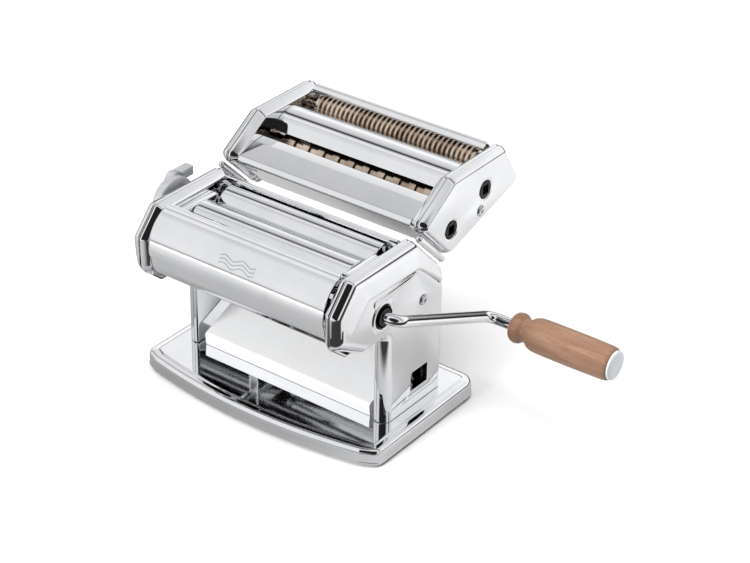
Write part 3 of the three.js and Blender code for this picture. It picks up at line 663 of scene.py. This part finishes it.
# The sections of the side plates, the cutter plates and the cutter casings: (x, inset) steps from the
# open edge to the face.
PLATE_RIM = [
    (80.3, 1.3), (80.15, 0.8), (79.8, 0.4), (79.3, 0.12), (78.8, 0.0), (78.3, 0.12), (77.8, 0.42),
    (75.4, 2.5), (74.6, 3.3), (74.1, 4.1), (73.8, 5.0), (WEB_X, 6.0),
]
CUTTER_RIM = [
    (80.8, 1.3), (80.65, 0.8), (80.3, 0.4), (79.8, 0.12), (79.2, 0.0), (78.6, 0.14), (78.0, 0.5),
    (75.8, 2.3), (74.9, 3.0), (74.2, 3.6), (73.8, 4.1), (WEB_X, 4.6),
]
CUTTER_PRESSING = [
    (81.1, 0.9), (81.25, 0.45), (81.55, 0.15), (82.0, 0.0), (82.6, 0.1), (84.2, 0.85), (85.2, 1.4),
    (86.0, 2.05), (86.65, 2.5), (87.1, 2.95), (87.38, 3.4), (87.48, 3.8), (87.5, 4.1),
]
CUTTER = [(46.1, 110.5, 8), (131, 135.5, 7), (109.6, 168, 6), (48.5, 167.6, 9), (12.2, 144.4, 6)]

# ---- Base ----


def tray_outline():
    bow = []
    for k in range(-10, 11):
        x = 9 * k
        bow.append((x, -65.7 + 10.2 * (x / 92) ** 2, 30 if abs(k) < 10 else 6))
    return [*bow, (102.5, -50, 8), (102.5, 65.5, 12), (-102.5, 65.5, 12), (-102.5, -50, 8)]


def base_tray():
    shell = Shell()
    corners = tray_outline()

    def level(inset, z):
        return shell.ring([(point.x, point.y, z) for point in rounded(corners, inset, 4)])

    outside = [
        (0.9, 0.0), (0.25, 0.15), (0.0, 0.6), (0.0, 1.2), (0.35, 1.9), (0.45, 2.6), (0.45, 7.6),
        (0.62, 8.9), (1.1, 10.0), (1.9, 10.85), (2.9, 11.3), (4.2, 11.45), (6.4, 11.45), (6.9, 11.5),
        (7.4, 11.85), (8.0, 12.0), (8.6, 12.0),
    ]
    inside = [(8.8, 10.8), (3.2, 10.2), (1.8, 8.8), (1.5, 7.4), (1.5, 0.4), (1.2, 0.0)]
    rings = [level(*step) for step in outside]
    shell.skin(rings)
    shell.fill(rings[-1])
    under = [level(*step) for step in inside]
    shell.skin(under)
    shell.fill(under[0])
    shell.band(under[-1], rings[0])
    shell.chrome("tray", "frame", "base_tray", sharp=40)


def rubber_foot(place):
    low, high = machine_box(f"rubber_foot_{place}")
    centre = ((low.x + high.x) / 2, (low.y + high.y) / 2)
    profile = [
        (-2, 0), (-2, 5.0), (-1.4, 5.6), (-1.4, 6.2), (-2, 6.8), (-1.8, 7.5), (-1.0, 8), (0.6, 7.9),
        (4, 7.2), (high.z - 0.4, 6.6), (high.z, 6.2), (high.z, 0),
    ]
    shell = Shell()
    lathe(shell, centre, profile, 48, axis="Z")
    shell.finish(f"foot_{place}", "frame", "rubber", [f"rubber_foot_{place}"])


base_tray()
for corner in ("front_left", "front_right", "rear_left", "rear_right"):
    rubber_foot(corner)

# ---- Sides ----


def crank_boss():
    """The raised ring round the crank hole, from the casing's field to its bore."""
    steps = [
        (12.6, 0.0), (12.0, 0.12), (11.4, 0.5), (10.9, 0.8), (10.3, 0.9), (9.4, 0.88), (8.9, 0.7),
        (8.5, 0.3), (8.3, -0.2), (8.3, -1.0),
    ]
    return [(circle(DRIVE_AXIS, radius, 72), FIELD_X + rise) for radius, rise in steps]


def dimple(centre, field):
    """The shallow pressed ring that a casing screw sits in."""
    steps = [
        (5.8, 0.0), (5.5, 0.08), (5.0, 0.3), (4.4, 0.34), (3.9, 0.1), (3.7, -0.1), (2.1, -0.15),
        (2.1, -1.0),
    ]
    return [(circle(centre, radius, 48), field + rise) for radius, rise in steps]


def clamp_window():
    corners = [(4.8, 24.5, 1.1), (23.7, 24.5, 1.1), (23.7, 39, 1.1), (4.8, 39, 1.1)]
    steps = [(-0.6, 0.0), (-0.3, -0.06), (-0.08, -0.25), (0.0, -0.5), (0.0, -1.0)]
    return [(rounded(corners, inset, 4), FIELD_X + rise) for inset, rise in steps]


def knob_hole():
    return round_hole(KNOB_AXIS, 4.6, FIELD_X, 1.0)


def side_casing(name, side):
    shell = Shell()
    holes = [dimple(CASING_SCREW, FIELD_X)]
    holes += [crank_boss(), clamp_window()] if side > 0 else [knob_hole()]
    pan(shell, CASING, CASING_EDGES, SEAM_X + 0.3, FIELD_X, THIN_SHEET, 26, holes, CASING_DRAWN)
    shoulder(shell)
    if side > 0:
        ridge(shell)
    shell.chrome(f"casing_{name}", "frame", f"side_casing_{name}", side=side)


def divided(first, second, longest):
    """Both lines with the same extra points, so that no step of the first is longer than this."""
    lines = ([first[0]], [second[0]])
    for i in range(1, len(first)):
        count = max(1, math.ceil((first[i] - first[i - 1]).length / longest))
        for k in range(1, count + 1):
            for line, source in zip(lines, (first, second)):
                line.append(source[i - 1].lerp(source[i], k / count))
    return lines


def shoulder(shell):
    """The sloping band. At its two ends it sinks just under the casing's field."""
    sunk = FIELD_X - 0.15
    outer, inner = divided(filleted(SHOULDER_OUTLINE, 10), filleted(SHOULDER_CREASE, 10), 3.0)
    rows = []
    total = len(outer) - 1
    for k, (edge, crease) in enumerate(zip(outer, inner)):
        width = (crease - edge).length
        along = (crease - edge) / width
        fade = min(1.0, k / 4, (total - k) / 4)
        fade = fade * fade * (3 - 2 * fade)
        steps = [*SHOULDER_RISE]
        low_d, low_x = steps[-1]
        high_d, high_x = width + SHOULDER_FALL[0][0], SHOULDER_FALL[0][1]
        if high_d < low_d:
            steps = [(d * min(1.0, high_d / low_d * 0.9), x) for d, x in steps]
            low_d = steps[-1][0]
        for t in (0.25, 0.5, 0.75):
            steps.append((low_d + (high_d - low_d) * t, low_x + (high_x - low_x) * t))
        steps += [(width + d, x) for d, x in SHOULDER_FALL]
        row = []
        for d, x in steps:
            spot = edge + along * d
            row.append((min(x, sunk) * (1 - fade) + x * fade, spot.x, spot.y))
        rows.append(shell.ring(row))
    for first, second in zip(rows, rows[1:]):
        shell.band(first, second, loop=False)


def ridge(shell):
    """The long wedge pressed out of the field, between the crank hole and the shoulder's bend."""
    wedge = [(-38.0, 108.0, 3), (-30, 108.5, 3), (9.0, 115.6, 1.0), (7.6, 117.4, 0.8), (-40.5, 115.6, 3)]
    pan(shell, wedge, [2.2, 2.4, 0.8, 1.0, 2.2], FIELD_X - 0.6, FIELD_X + 0.75, 0, 6, steps=5)


def side_plate(name, side):
    shell = Shell()
    journals = [
        round_hole(FRONT_AXIS, 7.3, WEB_X, SHEET, toward=-1),
        round_hole((1, 119), 7.2, WEB_X, SHEET, toward=-1),
    ]
    pressed(shell, PLATE, PLATE_RIM, journals, THIN_SHEET)
    pan(shell, LEG, [1.5, 0.3, 1.1, 1.5], SEAM_X, LEG_WEB_X, SHEET, 5, steps=5)
    shell.chrome(f"plate_{name}", "frame", f"side_plate_{name}", side=side)


def screw_head(name, centre, face, side, node, body):
    """A domed head with a small round recess, on a plain shank."""
    shell = Shell()
    profile = [
        (74.2, 0), (74.2, 1.8), (face + 0.1, 1.8), (face + 0.1, 3.4), (face + 0.5, 3.6), (face + 1.0, 3.4),
        (face + 1.45, 2.8), (face + 1.7, 1.9), (face + 1.72, 1.2), (face + 1.2, 1.0), (face + 1.2, 0),
    ]
    lathe(shell, centre, profile, 40)
    shell.finish(name, body, "bright_steel", [node], side=side)


def cutter_rail(name, side):
    """A round runner along the sloping rear corner."""
    shell = Shell()
    along = Vector((0, 1, -1)).normalized()
    across = Vector((0, 1, 1)).normalized()
    offset = 3.5 / math.sqrt(2)
    middle = Vector((84.2, 24.8 + offset, 121.7 + offset))
    reach, thick = 18.5, 2.5
    dome = [(reach + thick * math.sin(a), thick * math.cos(a)) for a in (0.0, 0.35, 0.7, 1.0, 1.3)]
    rings = []
    for distance, radius in [(-distance, radius) for distance, radius in reversed(dome)] + dome:
        spot = middle + along * distance
        turned = circle((0, 0), radius, 32)
        rings.append(shell.ring([spot + across * u + Vector((v, 0, 0)) for u, v in turned]))
    shell.skin(rings)
    shell.fan(rings[0], middle - along * (reach + thick))
    shell.fan(rings[-1], middle + along * (reach + thick))
    shell.chrome(f"runner_{name}", "frame", f"cutter_rail_{name}", sharp=32, side=side)


def dough_guide(name, side):
    shell = Shell()
    outline = [(-44, 110, 0.8), (-9.5, 110, 0.8), (-9.5, 131.5, 2.6), (-44, 131.5, 2.6)]
    profile = [
        (66.6, 0.9), (66.7, 0.45), (67.0, 0.12), (67.5, 0), (69.4, 0), (69.6, 0.35), (70.2, 0.35),
        (70.4, 0), (73.0, 0), (73.4, 0.4),
    ]
    outer = [shell.side_ring(rounded(outline, inset, 6), x) for x, inset in profile]
    shell.skin(outer)
    bores = [shell.side_ring(circle(FRONT_AXIS, 6), x) for x in (66.6, 73.4)]
    shell.skin(bores)
    shell.fill(outer[0], bores[0])
    shell.fill(outer[-1], bores[-1])
    shell.chrome(f"guide_{name}", "frame", f"dough_guide_{name}", side=side)


for name, side in (("left", -1), ("right", 1)):
    side_casing(name, side)
    side_plate(name, side)
    screw_head(f"casing_rivet_{name}", CASING_SCREW, FIELD_X, side, f"casing_screw_{name}", "frame")
    cutter_rail(name, side)
    dough_guide(name, side)

# ---- Covers of the dough roller ----


def bent_cover(name, body, line, node):
    """A cover bent from one sheet, as wide as the space between the plates."""
    shell = Shell()
    sheet(shell, line, INNER)
    shell.chrome(name, body, node, sharp=30)


def front_cover():
    """A mirror-smooth nose with a turned-in top flange, a crease and a curled band below it."""
    flange = [(-46, 134.4), (-55.2, 136.6, 2.4)]
    nose = arc(NOSE_CENTRE, NOSE_RADIUS, 108, 187.5, 60)
    line = filleted([*flange, nose[0], nose[1]], 6)[:-1] + nose[2:]
    end = nose[-1]
    band = filleted([
        end, (end[0] + 0.05, end[1] - 0.35), (end[0] + 1.0, end[1] - 0.9, 0.3),
        (-70.9, 98.6, 6), (-67.2, 92.3, 4), (-62.6, 89.2),
    ], 8)
    bent_cover("nose_cover", "frame", line + band[1:], "front_cover")


def wave_mark():
    """A small etched mark: three plain parallel waves."""
    radius = NOSE_RADIUS + 0.05
    shell = Shell()
    for row in range(3):
        top, bottom = [], []
        for k in range(49):
            u = k / 48
            lift = 1.25 * math.sin(4 * math.pi * u)
            for store, thick in ((top, 0.42), (bottom, -0.42)):
                angle = math.radians(149.5 - 5.6 * (1 - row)) - (lift + thick) / NOSE_RADIUS
                y = NOSE_CENTRE[0] + radius * math.cos(angle)
                store.append((-15 + 30 * u, y, NOSE_CENTRE[1] + radius * math.sin(angle)))
        shell.band(shell.ring(top), shell.ring(bottom), loop=False)
    shell.finish("wave_mark", "frame", "etched_mark")


def rear_cover():
    points = [(36.9, 48), (36.9, 105.6, 5), (6.5, 136.3, 1.6), (4.4, 136.3, 0.9), (4.4, 134)]
    bent_cover("back_cover", "frame", filleted(points, 8), "rear_cover")


def chute():
    points = [(38.4, 45.6), (-20.2, 22.0, 1.6), (-21.4, 20.6, 0.6), (-20.6, 12.3)]
    shell = Shell()
    sheet(shell, filleted(points, 6), 72.6)
    shell.finish("chute", "frame", "satin_sheet", ["chute_plate"], sharp=30)


front_cover()
wave_mark()
rear_cover()
chute()

# ---- Rollers ----


# One half of a roller's drum: the journal's fillet, the end face and the rounded rim.
DRUM = [
    (66.6, 5), (66.3, 5.3), (66, 5.8), (66, 12.6), (65.88, 13.3), (65.5, 13.75), (64.9, 13.96), (64.2, 14),
]


def dough_roller(name, body, axis, journal):
    """A roller with the same journal at both ends. Its node has its body's name."""
    half = [*journal, *DRUM]
    shell = Shell()
    lathe(shell, axis, [(-x, radius) for x, radius in half] + half[::-1], 128)
    shell.finish(name, body, "roller_chrome", [body], sharp=34)


dough_roller("front_drum", "front_roller", FRONT_AXIS, [(81, 0), (81, 4.6), (80.6, 5)])
rear_journal = [(83.6, 0), (83.6, 3.7), (83.3, 4), (81, 4), (81, 4.7), (80.7, 5)]
dough_roller("rear_drum", "rear_roller", REAR_AXIS, rear_journal)

# ---- Crank ----


def smooth_path(points, bend, steps=14):
    """Points of a path whose inner corners are replaced by smooth bends."""
    path = [Vector(points[0])]
    for before, here, after in zip(points, points[1:], points[2:]):
        here = Vector(here)
        back, on = (Vector(before) - here).normalized(), (Vector(after) - here).normalized()
        start, end = here + back * bend, here + on * bend
        for k in range(steps + 1):
            t = k / steps
            path.append(start * (1 - t) ** 2 + here * (2 * t * (1 - t)) + end * t * t)
    path.append(Vector(points[-1]))
    return path


def crank_rod():
    shell = Shell()
    corners = [(89.7, *DRIVE_AXIS), (98.5, *DRIVE_AXIS), (109, *GRIP_AXIS), (176, *GRIP_AXIS)]
    path = smooth_path(corners, 8.5)
    plane = (Vector(corners[2]) - Vector(corners[1])).cross(Vector((1, 0, 0))).normalized()
    rings = []
    for i, point in enumerate(path):
        ahead = path[min(i + 1, len(path) - 1)] - path[max(i - 1, 0)]
        other = ahead.normalized().cross(plane).normalized()
        rings.append(shell.ring([point + plane * u + other * v for u, v in circle((0, 0), ROD_RADIUS)]))
    shell.block(rings)
    y, z = DRIVE_AXIS
    square = [(y + u, z + v, 0.5) for u, v in ((-3, -3), (3, -3), (3, 3), (-3, 3))]
    raised(shell, square, [(78, 0.4), (78.5, 0), (90, 0)], 3)
    rod = shell.chrome("bent_rod", "crank", "crank_rod")
    rod.visible_glossy = False


def wooden_grip():
    low, high = machine_box("wooden_grip")
    a, b = low.x, high.x
    keys = [
        (0.0, 7.6), (0.25, 8.8), (0.9, 9.5), (2.2, 10.3), (4.5, 10.75), (6.8, 10.3), (8.2, 9.3),
        (9.2, 8.35), (10.4, 8.15), (11.8, 8.3), (13.2, 9.0), (14.8, 10.4), (16.2, 11.15), (18.4, 11.75),
        (22, 12.02), (30, 12.2), (40, 12.27), (52, 12.25), (64, 12.12), (70, 12.0), (74, 11.85),
        (76.3, 11.5), (77.4, 10.9), (77.8, 10.4),
    ]
    stretch = (b - a) / keys[-1][0]
    profile = [(178, 0), (178, 4.3), (a + 0.5, 4.3), (a, 4.8)]
    profile += [(a + x * stretch, radius) for x, radius in keys]
    profile += [(b, 0)]
    shell = Shell()
    lathe(shell, GRIP_AXIS, profile, 96)
    grip = shell.finish("grip_wood", "grip", "beech", ["wooden_grip"], sharp=40)
    grip.visible_glossy = False


def grip_cap():
    low, high = machine_box("grip_end_cap")
    a, b = low.x, high.x
    profile = [
        (a, 0), (a, 10.2), (a + 0.2, 10.4), (a + 0.9, 10.42), (a + 1.5, 10.2), (a + 1.9, 9.7),
        (a + 2.05, 9.0), (b - 0.12, 8.2), (b - 0.02, 6.0), (b, 2.0), (b, 0),
    ]
    shell = Shell()
    lathe(shell, GRIP_AXIS, profile, 72)
    cap = shell.finish("grip_cap", "grip", "cap_grey", ["grip_end_cap"], sharp=40)
    cap.visible_glossy = False


def drive_bushing():
    """A dished ring in the crank hole, near black as painted shade."""
    shell = Shell()
    profile = [
        (84.6, 6.7), (84.6, 9.6), (85.0, 10), (87.3, 10), (87.3, 8.2), (88.6, 8.15), (88.9, 7.9),
        (88.7, 7.5), (87.2, 7.1), (86.6, 6.7), (84.6, 6.7),
    ]
    lathe(shell, DRIVE_AXIS, profile, 64)
    bmesh.ops.remove_doubles(shell.bm, verts=shell.bm.verts, dist=1e-4)
    shell.finish("crank_ring", "frame", "painted_shade_steel", ["drive_bushing"], sharp=36)


crank_rod()
drive_bushing()
wooden_grip()
grip_cap()

# ---- Thickness knob ----


def bar_directions():
    """The directions along and across the finger bar, in the side view."""
    cosine, sine = math.cos(BAR_TILT), math.sin(BAR_TILT)
    return Vector((cosine, sine)), Vector((-sine, cosine))


def knob():
    shell = Shell()
    profile = [
        (90.2, 3.4), (90.2, 17.0), (90.4, 17.8), (91.0, 18.3), (91.6, 18.4), (95.4, 18.4), (96.0, 18.2),
        (97.2, 17.4), (97.8, 16.6), (98.0, 15.8), (98.0, 0),
    ]
    lathe(shell, KNOB_AXIS, profile, 96)
    pocket = [(90.2, 3.4), (91.4, 3.4), (91.4, 7.5), (97.2, 7.5), (97.2, 0)]
    lathe(shell, KNOB_AXIS, pocket, 48)
    along, across = bar_directions()
    centre = Vector(KNOB_AXIS)
    bar = []
    for u, v in ((-20, -4.6), (20, -4.6), (20, 4.6), (-20, 4.6)):
        bar.append((*(centre + along * u + across * v), 4.55))
    steps = [
        (97.6, -0.5), (98.1, -0.25), (98.8, 0), (103.2, 0.15), (104.6, 0.5), (105.3, 1.1), (105.6, 2.0),
    ]
    raised(shell, bar, steps, 12)
    tab = [(9.5, 8.5, 0.8), (26.5, 8.5, 0.8), (26.5, 15.7, 0.8), (9.5, 15.7, 4)]
    tab = [(centre.x + u, centre.y + v, radius) for u, v, radius in tab]
    steps = [
        (97.6, 0.9), (97.7, 0.5), (98.1, 0.12), (98.7, 0), (103.8, 0), (104.8, 0.25), (105.4, 0.7),
        (105.6, 1.3),
    ]
    raised(shell, tab, steps, 6)
    shell.finish("setting_knob", "knob", "cast_grey", ["thickness_knob"], sharp=38, side=-1)


def knob_grooves():
    """Fine raised lines along both sides of the finger bar and on the tab, for grip."""
    shell = Shell()
    along, across = bar_directions()
    centre = Vector(KNOB_AXIS)
    section = [(-0.45, -0.4), (0.45, -0.4), (0.2, 0.32), (-0.2, 0.32)]
    for sign in (-1, 1):
        for k in range(-8, 9):
            spot = centre + along * (1.7 * k) + across * (sign * 4.45)
            corners = [spot + along * u + across * (sign * v) for u, v in section]
            shell.block([shell.side_ring(corners, x) for x in (99.2, 103.4)])
    square = [(-1, -1), (1, -1), (1, 1), (-1, 1)]
    for k in range(9):
        for lift in (10.55, 13.35):
            y, z = centre.x + 11.6 + 1.6 * k, centre.y + lift
            rings = []
            for x, half_width, half_height in ((97.7, 0.5, 0.95), (97.2, 0.2, 0.475)):
                corners = [(y + half_width * u, z + half_height * v) for u, v in square]
                rings.append(shell.side_ring(corners, x))
            shell.block(rings)
    shell.finish("knob_ribs", "knob", "cast_grey", sharp=30, side=-1)


def dial_numbers():
    for k in range(7):
        angle = BAR_TILT + math.radians(90 + (k - 3) * 23)
        curve = bpy.data.curves.new(f"number_{k + 1}", "FONT")
        curve.body = str(k + 1)
        curve.size = 4.2 * MM
        curve.extrude = 0.06 * MM
        curve.align_x = "CENTER"
        curve.align_y = "CENTER"
        curve.materials.append(MATERIALS["dial_ink"])
        label = bpy.data.objects.new(f"number_{k + 1}", curve)
        put(label)
        spot = (-98.04, KNOB_AXIS[0] + 12.6 * math.cos(angle), KNOB_AXIS[1] + 12.6 * math.sin(angle))
        outward = Vector((0, math.cos(angle), math.sin(angle)))
        facing = Vector((-1, 0, 0))
        turn = Matrix((outward.cross(facing), outward, facing)).transposed().to_4x4()
        label.matrix_world = Matrix.Translation(to_row(spot)) @ turn
        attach(label, "knob")


knob()
knob_grooves()
dial_numbers()

# ---- Cutter unit ----


def cutter_casing(name, side):
    shell = Shell()
    face = CUTTER_PRESSING[-1][0]
    holes = [dimple(CUTTER_SCREW, face)]
    if side > 0:
        for axis in (FINE_AXIS, WIDE_AXIS):
            steps = [
                (8.6, 0.0), (8.0, -0.05), (7.5, -0.3), (7.1, -0.4), (6.8, -0.5), (6.6, -0.8), (6.6, -2.0),
            ]
            holes.append([(circle(axis, radius, 56), face + rise) for radius, rise in steps])
    inner = face - 1.0
    holes = [[*hole[:-1], (hole[-1][0], inner)] for hole in holes]
    pressed(shell, CUTTER, CUTTER_PRESSING, holes, 1.0)
    shell.chrome(f"cutter_shell_{name}", "cutter_unit", f"cutter_casing_{name}", side=side)


def cutter_plate(name, side):
    shell = Shell()
    axes = [FINE_AXIS, second_axis(FINE_AXIS), WIDE_AXIS, second_axis(WIDE_AXIS)]
    holes = [round_hole(axis, 5.3, WEB_X, SHEET, toward=-1, sides=32) for axis in axes]
    pressed(shell, CUTTER, CUTTER_RIM, holes, SHEET)
    shell.chrome(f"cutter_web_{name}", "cutter_unit", f"cutter_plate_{name}", side=side)


def cutter_covers():
    lip = arc((105.8, 164.4), 3.6, 50, 215, 24)
    line = filleted([(124.6, 135.8), (129.4, 140, 2.2), lip[0], lip[1]], 8)[:-1]
    bent_cover("cutter_back", "cutter_unit", line + lip[1:], "cutter_rear_cover")
    crown = arc((76.5, 139.5), 22, 50, 120, 40)
    line = filleted([(91.4, 154.6), crown[0]], 4) + crown[1:]
    line += filleted([crown[-1], (62.6, 156.4, 2.2), (58.6, 150.4)], 8)[1:]
    bent_cover("deck", "cutter_unit", line, "cutter_deck")
    line = filleted([
        (50.4, 146), (46.5, 150.4, 2.0), (38, 149.6, 6), (20.5, 145, 2.5), (17.6, 142, 2.0), (46, 114.4),
    ], 8)
    bent_cover("cutter_nose", "cutter_unit", line, "cutter_front_cover")


def cutter(name, body, axis, journal, edge, pitch, count, sides, node):
    """A cutter, turned in one piece: its left journal, its even rings and its right journal.

    The edge is the left flank of a ring, from its root to its top."""
    root = edge[0][1]
    ring = edge + [(-u, radius) for u, radius in reversed(edge)]
    profile = [*journal, (-CUTTER_HALF, 5), (-CUTTER_HALF, root)]
    for k in range(count):
        x = pitch * (k - (count - 1) / 2)
        profile += [(x + u, radius) for u, radius in ring]
    profile += [(CUTTER_HALF, root), (CUTTER_HALF, 5), (81.0, 5), (81.2, 4.8), (81.2, 0)]
    shell = Shell()
    lathe(shell, axis, profile, sides)
    shell.finish(name, body, "cutter_warm", [node], sharp=34)


def fine_cutter(name, body, axis, count, node):
    journal = [(-81, 0), (-81, 4.7), (-80.7, 5)]
    edge = [(-1.12, 8.75), (-0.98, CUTTER_TOP - 0.12), (-0.8, CUTTER_TOP)]
    cutter(name, body, axis, journal, edge, 4, count, 44, node)


def wide_cutter(name, body, axis, count, node):
    journal = [(-75.6, 0), (-75.6, 5)]
    edge = [(-3.0, 8.7), (-2.95, CUTTER_TOP - 0.2), (-2.75, CUTTER_TOP)]
    cutter(name, body, axis, journal, edge, 13, count, 56, node)


for name, side in (("left", -1), ("right", 1)):
    cutter_casing(name, side)
    cutter_plate(name, side)
    screw_head(f"cutter_rivet_{name}", CUTTER_SCREW, 87.4, side, f"cutter_screw_{name}", "cutter_unit")
cutter_covers()
fine_cutter("fine_roll_a", "fine_driven", FINE_AXIS, 34, "fine_cutter_driven")
fine_cutter("fine_roll_b", "fine_idle", second_axis(FINE_AXIS), 33, "fine_cutter_idle")
wide_cutter("wide_roll_a", "wide_driven", WIDE_AXIS, 11, "wide_cutter_driven")
wide_cutter("wide_roll_b", "wide_idle", second_axis(WIDE_AXIS), 10, "wide_cutter_idle")

# ---- CAD nodes that stay ----

KEPT = {
    "gear_steel": (
        "front_transfer_gear front_driven_gear rear_transfer_gear "
        "fine_comb wide_comb fine_gear_driven fine_gear_idle wide_gear_driven wide_gear_idle"
    ),
    "bronze": "front_bushing_left front_bushing_right bearing_block_left bearing_block_right",
    # These parts sit in holes and gaps, and their near-black steel is painted shade.
    "painted_shade_steel": "drive_pinion front_scraper rear_scraper fine_crank_socket wide_crank_socket",
    "bright_steel": "front_tie_rod rear_tie_rod dial_spindle knob_spring",
}
for material, names in KEPT.items():
    for node in names.split():
        kept = frame["nodes"][node]
        kept.data.materials.clear()
        kept.data.materials.append(MATERIALS[material])
        kept.data.shade_smooth()
        kept.data.set_sharp_from_angle(angle=math.radians(32))

# ---- Stage, light and camera ----

low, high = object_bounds()
centre = Vector(((low[0] + high[0]) / 2, (low[1] + high[1]) / 2, (low[2] + high[2]) / 2))


def floor():
    """A sweep that the camera sees as white paper. In reflections it shows painted shade: it is greyer
    near the machine, and dark on the side that the camera looks from."""
    shell = bmesh.new()
    bmesh.ops.create_grid(shell, x_segments=2, y_segments=2, size=6.0)
    mesh = bpy.data.meshes.new("floor")
    shell.to_mesh(mesh)
    shell.free()
    look = Nodes("floor")
    paper = look.ramp(look.noise(3, 2), [(0.3, 0.985), (0.8, 1.0)])
    # Painted shade: the floor's grey as reflections see it, darkest near the machine, across the stage.
    reflected_shade_tones = [
        (-2.0, 1.0), (-1.2, 0.72), (-0.44, 0.43), (-0.2, 0.42), (-0.1, 0.37), (0.0, 0.34), (0.08, 0.34),
        (0.2, 0.44), (0.3, 0.58), (0.4, 0.62), (0.5, 0.74), (0.6, 0.86),
    ]
    first, last = reflected_shade_tones[0][0], reflected_shade_tones[-1][0]
    side = look.remap(look.dot(look.place, (0.6, 0.8, 0)), (first, last))
    stops = [((distance - first) / (last - first), value) for distance, value in reflected_shade_tones]
    shade = look.ramp(side, stops, smooth=True)
    # Painted shade: a dark patch on the floor on the camera's side of the machine, seen only in
    # reflections.
    near = look.remap(look.dot(look.place, (0.594, -0.805, 0)), (0.015, 0.05), kind="SMOOTHSTEP")
    flank = look.remap(look.dot(look.place, (0.805, 0.594, 0)), (0.04, 0.085), kind="SMOOTHSTEP")
    shade = look.mix(look.calculate("MULTIPLY", near, flank), shade, (0.02, 0.02, 0.02))
    seen = look.add("ShaderNodeLightPath").outputs["Is Camera Ray"]
    look.set(Base_Color=look.mix(seen, shade, paper), Roughness=0.9)
    mesh.materials.append(MATERIALS["floor"])
    plane = bpy.data.objects.new("floor", mesh)
    plane.location = to_row((-70, -190, 0)) * Vector((1, 1, 0)) + Vector((0, 0, low[2] - 0.0002))
    put(plane)


# Brightness of the studio by height, in degrees from the rear horizon over the top to the front one.
STRIPS = [
    (0, 0.01), (12, 0.02), (17, 0.3), (23, 1.1), (38, 1.1), (45, 0.85), (55, 0.78), (60, 0.7),
    (66, 0.62), (70, 0.08), (75, 0.05), (79, 0.6), (84, 0.98), (90, 0.95), (95, 0.7), (102, 0.8),
    (110, 0.9), (125, 0.9), (160, 0.92), (172, 0.94), (180, 0.88),
]
# The dark opening that the machine is looked at through: its direction and its half angles.
OPENING = (0.5107, -0.6920, 0.5103)
OPENING_ANGLES = (29, 37)


def world():
    """A white studio of strips along the machine, with one dark opening at the front."""
    sky = bpy.data.worlds.new("studio")
    bpy.context.scene.world = sky
    sky.use_nodes = True
    tree = Tree(sky.node_tree)
    place = tree.add("ShaderNodeTexCoord").outputs["Generated"]
    split = tree.add("ShaderNodeSeparateXYZ")
    tree.link(place, split.inputs[0])
    upward = tree.calculate("ABSOLUTE", split.outputs["Z"])
    height = tree.remap(tree.calculate("ARCTAN2", upward, split.outputs["Y"]), (0, math.pi))
    strips = tree.ramp(height, [(angle / 180, (value, value, value * 1.01)) for angle, value in STRIPS])
    inner, outer = (math.cos(math.radians(angle)) for angle in OPENING_ANGLES)
    edge = tree.remap(tree.dot(place, OPENING), (outer, inner), (1.0, 0.02), "SMOOTHSTEP")
    path = tree.add("ShaderNodeLightPath")
    dim = tree.remap(path.outputs["Is Diffuse Ray"], (0, 1), (1.0, 0.6))
    studio = tree.tree.nodes["Background"]
    tree.link(strips, studio.inputs["Color"])
    tree.link(tree.calculate("MULTIPLY", edge, dim), studio.inputs["Strength"])
    plain = tree.add("ShaderNodeBackground")
    plain.inputs["Color"].default_value = (1, 1, 1, 1)
    mix = tree.add("ShaderNodeMixShader")
    sources = (path.outputs["Is Camera Ray"], studio.outputs[0], plain.outputs[0])
    for source, target in zip(sources, mix.inputs):
        tree.link(source, target)
    tree.link(mix.outputs[0], tree.tree.nodes["World Output"].inputs["Surface"])


def softbox(name, where, size, power):
    light = bpy.data.lights.new(name, "AREA")
    light.shape = "RECTANGLE"
    light.size, light.size_y = size
    light.energy = power
    lamp = bpy.data.objects.new(name, light)
    lamp.location = centre + Vector(where)
    lamp.rotation_euler = (-Vector(where)).to_track_quat("-Z", "Y").to_euler()
    lamp.visible_glossy = False
    put(lamp)


# The photo's camera: its focal length on a 36 mm sensor, its place, and its turn in degrees.
FOCAL_LENGTH = 98.58
CAMERA_PLACE = (751.54, -937.33, 794.18)
CAMERA_TURN = (36.434, 30.685, 1.053)


def camera():
    lens = bpy.data.cameras.new("camera")
    lens.sensor_width = 36.0
    lens.lens = FOCAL_LENGTH
    lens.clip_start = 0.01
    view = bpy.data.objects.new("camera", lens)
    azimuth, elevation, roll = (math.radians(angle) for angle in CAMERA_TURN)
    back = Vector((
        math.sin(azimuth) * math.cos(elevation),
        -math.cos(azimuth) * math.cos(elevation),
        math.sin(elevation),
    ))
    level = Vector((math.cos(azimuth), math.sin(azimuth), 0))
    upright = back.cross(level)
    right = level * math.cos(roll) + upright * math.sin(roll)
    up = upright * math.cos(roll) - level * math.sin(roll)
    place = Matrix((right, up, back)).transposed().to_4x4()
    view.matrix_world = Matrix.Translation(to_row(CAMERA_PLACE)) @ place
    put(view)
    bpy.context.scene.camera = view


floor()
world()
softbox("key", (0.3, 0.1, 1.6), (1.3, 1.3), 25)
softbox("front", (-0.4, -1.2, 0.5), (0.9, 0.5), 22)
camera()
bpy.context.scene.view_settings.view_transform = "Standard"
